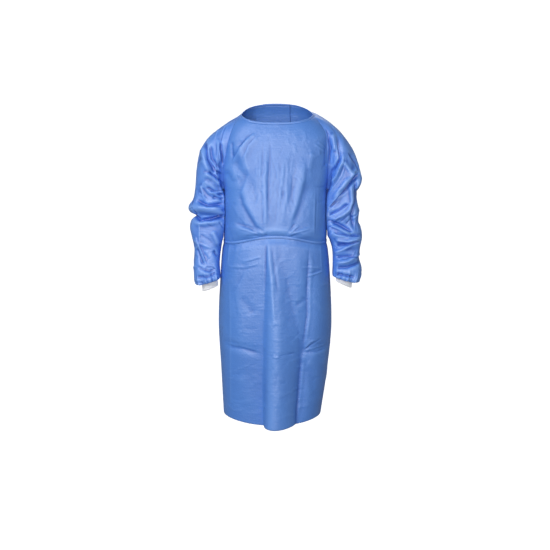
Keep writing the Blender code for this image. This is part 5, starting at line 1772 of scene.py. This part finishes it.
@dataclass
class Knot:
    """The knot of the tie at centre back, with the band that wraps it."""

    radii: tuple[float, float, float] = (0.0150, 0.0062, 0.0094)
    squareness: float = 0.62
    rings: int = 24
    sides: int = 40
    groove: float = 0.0011

    def centre(self) -> Grid:
        """Middle of the knot, in the middle of its solid."""
        low, high = (np.array(corner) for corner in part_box("waist_knot"))
        return (low + high) / 2

    def build(self, tape: bpy.types.Material) -> bpy.types.Object:
        """Makes the knot as one closed form whose grooves part the turns of the tape."""
        tilt = np.linspace(0.02, math.pi - 0.02, self.rings)[:, None]
        turn = np.linspace(0.0, 2 * math.pi, self.sides, endpoint=False)[None]
        ball = np.stack(
            [np.sin(tilt) * np.cos(turn), np.sin(tilt) * np.sin(turn), np.cos(tilt) * np.ones_like(turn)],
            axis=-1
        )
        form = np.sign(ball) * np.abs(ball) ** self.squareness * np.array(self.radii)
        slant = form[..., 0] * 0.8 + form[..., 2] * 0.6
        dent = sum(np.exp(-(((slant - place) / 0.0016) ** 2)) for place in (-0.0055, 0.0055))
        ridges = 0.25 * np.sin(form[..., 2] * 1500.0) * (np.abs(slant) > 0.0055)
        form = form - unit(form) * (self.groove * (dent + ridges))[..., None] * (np.abs(ball[..., 2:]) < 0.97)
        grid = self.centre() + form
        # The fold value paints shade in the grooves between the tape's turns, on a knot a little paler all
        # over
        item = make_mesh("waist_knot_tape", grid, True, unit(form), {"fold": 0.35 - dent})
        rows, sides = grid.shape[:2]
        faces = [tuple(p.vertices) for p in item.data.polygons]
        points = [v.co[:] for v in item.data.vertices]
        a, b = faces[0][0], faces[0][1]
        forward = (b - a) % sides == 1 and a < sides and b < sides
        first, last = tuple(range(sides)), tuple((rows - 1) * sides + k for k in range(sides))
        caps = [first[::-1], last] if forward else [first, last[::-1]]
        mesh = bpy.data.meshes.new("waist_knot_tape")
        mesh.from_pydata(points, [], faces + caps)
        spread = np.array(
            [[points[k][0] + points[k][1], points[k][2]] for face in faces + caps for k in face]
        )
        mesh.uv_layers.new(name="cloth").data.foreach_set("uv", spread.ravel())
        # Painted shade in the grooves, as above
        mesh.attributes.new("fold", "FLOAT", "POINT").data.foreach_set(
            "value", (0.35 - dent).astype(np.float32).ravel()
        )
        mesh.shade_smooth()
        item.data = mesh
        return dress(item, tape, "gown_tie", "waist_knot")


@dataclass
class TieEnd:
    """One hanging end of the tie, from under the knot down the back."""

    name: str
    x_from: float
    x_to: float
    length: float
    narrow: float = 0.0050
    wide: float = 0.0095
    thickness: float = 0.0012
    off_panel: float = 0.0024
    wave: float = 0.0030
    solid_thickness: float = 0.0020
    settles: float = 0.15
    rows: int = 60

    def build(self, tape: bpy.types.Material) -> bpy.types.Object:
        """Makes the end."""
        low, high = (np.array(corner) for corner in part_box(self.name))
        along = np.linspace(0.0, 1.0, self.rows + 1)
        z = high[2] - self.length * along
        level = BODY.level_at(z, 180.0)
        x = self.x_from + (self.x_to - self.x_from) * ease(0.0, 1.2, along)
        half = self.narrow + (self.wide - self.narrow) * ease(0.0, 0.35, along)
        wave = self.wave * np.sin(np.pi * along) ** 2
        lift = LAP.lift + self.off_panel + wave + 0.0065 * 0.5 * ease(self.settles, 0.0, along)
        sides = []
        for side in (-1.0, 1.0):
            angle = BODY.angle_behind(level, x + side * half)
            sides.append(
                BODY.point(level, angle) + BODY.normal(level, angle) * (lift + self.solid_thickness)[:, None]
            )
        left, right = sides
        centre, across = (left + right) / 2, unit(right - left)
        down = np.gradient(centre, axis=0)
        out = unit(np.cross(across, down))
        out = out * np.sign(out[:, 1:2])
        curl = 0.0010 * np.sin(along * 17.0 + self.length * 40.0)
        centre = centre - out * self.thickness + out * (curl * ease(0.0, 0.2, along))[:, None]
        profile = tape_profile(1.0, self.thickness, 0.5)[None] * np.stack(
            [2 * half, np.ones_like(half)], axis=-1
        )[:, None]
        item = sweep(self.name + "_tape", centre, across, out, profile)
        dress(item, tape, "gown_tie", self.name)
        return item


@dataclass
class NeckTab:
    """The tab sewn to the left back panel that grips the right one at the neck."""

    levels: tuple[float, float] = (1.0 / 12.0, 2.0 / 12.0)
    sewn: float = 0.030
    loose: float = 0.024
    step_down: float = 0.014
    thickness: float = 0.0016
    seat: float = 0.0004
    flat: tuple[float, float] = (0.054, 0.024)

    def build(self, tape: bpy.types.Material, thread: bpy.types.Material) -> bpy.types.Object:
        """Makes the tab and its stitched outline."""
        level = np.linspace(*self.levels, 13)[:, None]
        per_metre = LAP.angle(BODY, level) / LAP.at_neck
        reach = np.linspace(-self.sewn, self.loose, 36)
        angle = 180.0 + LAP.angle(BODY, level) + reach * per_metre
        level = level * np.ones_like(angle)
        normal = BODY.normal(level, angle)
        lift = LAP.lift * ease(self.step_down, 0.001, reach) + self.seat
        share = np.abs(np.linspace(-1.0, 1.0, 13))[:, None]
        round_off = (
            1.0
            - 0.10 * ease(0.6, 1.0, share) * ease(0.8, 1.0, np.abs(np.linspace(-1.0, 1.0, 36)))[None]
        )
        grid = BODY.point(level, angle) + normal * (lift + self.thickness * round_off)[..., None]
        item = make_mesh("neck_tab_tape", grid, False, normal, {"fold": 0.2 * np.ones(grid.shape[:2])})
        thicken(item, self.thickness)
        dress(item, tape, "gown_tie", "neck_tab")
        inset = [grid[2, 2:20], grid[2:11, 19], grid[10, 2:20][::-1], grid[2:11, 2][::-1]]
        out = [normal[2, 2:20], normal[2:11, 19], normal[10, 2:20][::-1], normal[2:11, 2][::-1]]
        lines = [(points + way * 0.0001, way) for points, way in zip(inset, out)]
        BeadRow(
            "neck_tab_stitches", Bead.STITCH, lines, 0.0030, (0.0021, 0.0005, 0.0004), "gown_tie"
        ).build(thread)
        return item


@dataclass
class Seams:
    """Weld dots down the raglan and side seams, just inside the front panel's edge."""

    pitch: float = 0.0042
    column: int = 2
    size: tuple[float, float, float] = (0.0022, 0.0012, 0.0004)

    def build(self, grid: Grid, normals: Grid, finish: bpy.types.Material) -> bpy.types.Object:
        """Makes the dots.

        Args:
            grid: the front panel's points.
            normals: its outward directions.
            finish: the dots' material.

        Returns:
            All dots as one object.
        """
        yoke, waist, last = 72, 130, len(grid) - 3
        lines = []
        for column in (self.column, -1 - self.column):
            for first, end in ((3, yoke - 1), (yoke + 2, waist - 4), (waist + 4, last)):
                lines.append((grid[first:end, column], normals[first:end, column]))
        row = BeadRow("seam_welds", Bead.WELD, lines, self.pitch, self.size, "gown_cloth")
        return row.build(finish)


@dataclass
class Studio:
    """Pale floor and backdrop, soft lights and the camera."""

    floor_z: float = -1.430
    eye: tuple[float, float, float] = (-0.0019, -4.0, 0.05)
    pitch: float = 9.076
    lens: float = 71.08
    sensor: float = 36.0
    wall_y: float = 3.2
    bend: float = 1.2
    paper_glow: float = 0.72
    air: float = 0.22

    def camera(self) -> None:
        """Places the camera at the photograph's viewing angle."""
        data = bpy.data.cameras.new("camera")
        data.sensor_width, data.lens = self.sensor, self.lens
        data.dof.use_dof = False
        camera = bpy.data.objects.new("camera", data)
        camera.location = self.eye
        camera.rotation_euler = (math.radians(90.0 - self.pitch), 0.0, 0.0)
        bpy.context.scene.collection.objects.link(camera)
        bpy.context.scene.camera = camera

    def floor(self) -> None:
        """Makes the floor, which curves up into the backdrop."""
        outline = [(-9.0, self.floor_z)]
        for turn in np.linspace(0.0, math.pi / 2, 16):
            outline.append(
                (
                    self.wall_y - self.bend + self.bend * math.sin(turn),
                    self.floor_z + self.bend * (1 - math.cos(turn))
                )
            )
        outline.append((self.wall_y, 6.0))
        points = [(x, y, z) for y, z in outline for x in (-9.0, 9.0)]
        faces = [(2 * k, 2 * k + 1, 2 * k + 3, 2 * k + 2) for k in range(len(outline) - 1)]
        mesh = bpy.data.meshes.new("studio_floor")
        mesh.from_pydata(points, [], faces)
        mesh.shade_smooth()
        n = Nodes("studio_paper")
        place = n.add("ShaderNodeTexCoord").outputs["Object"]
        tone = n.mixed(
            n.ranged(n.noise(place, 3.0, 2.0), 0.3, 0.7, 0.0, 1.0), (0.93, 0.93, 0.935, 1),
            (0.95, 0.95, 0.955, 1)
        )
        paper = n.add("ShaderNodeBsdfPrincipled", Base_Color=tone, Emission_Color=tone)
        paper.inputs["Roughness"].default_value = 0.9
        paper.inputs["Emission Strength"].default_value = self.paper_glow
        mesh.materials.append(n.finish(paper))
        item = bpy.data.objects.new("studio_floor", mesh)
        item.visible_diffuse = False
        item.visible_glossy = False
        bpy.context.scene.collection.objects.link(item)

    def lamp(
        self, name: str, place: tuple, target: tuple, size: tuple, power: float, sheen: bool = False
    ) -> None:
        """Adds a soft light that looks at a place; a sheen light shows only as a reflection."""
        data = bpy.data.lights.new(name, "AREA")
        data.shape = "RECTANGLE"
        data.size, data.size_y, data.energy = *size, power
        item = bpy.data.objects.new(name, data)
        item.visible_diffuse = not sheen
        item.location = place
        way = np.array(target) - np.array(place)
        item.rotation_euler = (math.acos(-way[2] / np.linalg.norm(way)), 0.0, math.atan2(-way[0], way[1]))
        bpy.context.scene.collection.objects.link(item)

    def build(self) -> None:
        """Makes the whole studio."""
        self.camera()
        self.floor()
        world = bpy.data.worlds.new("studio_air")
        world.use_nodes = True
        world.node_tree.nodes["Background"].inputs["Color"].default_value = (0.97, 0.98, 1.0, 1.0)
        world.node_tree.nodes["Background"].inputs["Strength"].default_value = self.air
        bpy.context.scene.world = world
        self.lamp("front", (-0.40, -4.3, 0.35), (0.0, 0.0, -0.30), (2.0, 1.8), 72.0)
        self.lamp("sheen", (-0.05, -4.2, 0.30), (0.0, 0.0, -0.30), (3.0, 0.6), 74.0, True)
        self.lamp("key", (-2.3, -2.6, 1.9), (0.0, 0.0, -0.55), (0.7, 0.7), 64.0)
        self.lamp("fill_left", (2.8, -1.8, 0.4), (0.0, 0.0, -0.45), (1.0, 1.0), 7.0)
        self.lamp("rim", (0.5, 2.6, 2.3), (0.0, 0.0, -0.40), (2.0, 2.0), 36.0)
        bpy.context.scene.view_settings.view_transform = "Standard"


def main() -> None:
    """Builds every piece of the gown in order."""
    logging.basicConfig(level=logging.INFO, format="%(name)s: %(message)s")
    Studio().build()
    finishes = Wardrobe()
    front, front_normals = FrontPanel().build(finishes.body)
    BackPanel(name="back_panel_left", side=1).build(finishes.body)
    BackPanel(name="back_panel_right", side=-1).build(finishes.body)
    left = Sleeve(1, LEFT_RINGS, LEFT_FOLDS, LEFT_SLEEVE_CREASES, LEFT_SLEEVE_BACK, 31)
    right = Sleeve(-1, RIGHT_RINGS, RIGHT_FOLDS, RIGHT_SLEEVE_CREASES, RIGHT_SLEEVE_BACK, 32)
    for sleeve, edge in ((left, LEFT_CUFF_EDGE), (right, RIGHT_CUFF_EDGE)):
        _, ring = sleeve.build(finishes.sleeve)
        Cuff(sleeve.side, edge).build(ring, sleeve.angles(), finishes.knit)
    NeckBinding().build(finishes.tape, finishes.thread)
    NeckTab().build(finishes.tape, finishes.thread)
    WaistTie().build(finishes.tape, finishes.thread)
    Knot().build(finishes.tape)
    TieEnd("tie_end_right", -0.0068, -0.0420, 0.235).build(finishes.tape)
    TieEnd("tie_end_left", 0.0068, 0.0350, 0.205).build(finishes.tape)
    Seams().build(front, front_normals, finishes.weld)


if __name__ == "__main__":
    main()
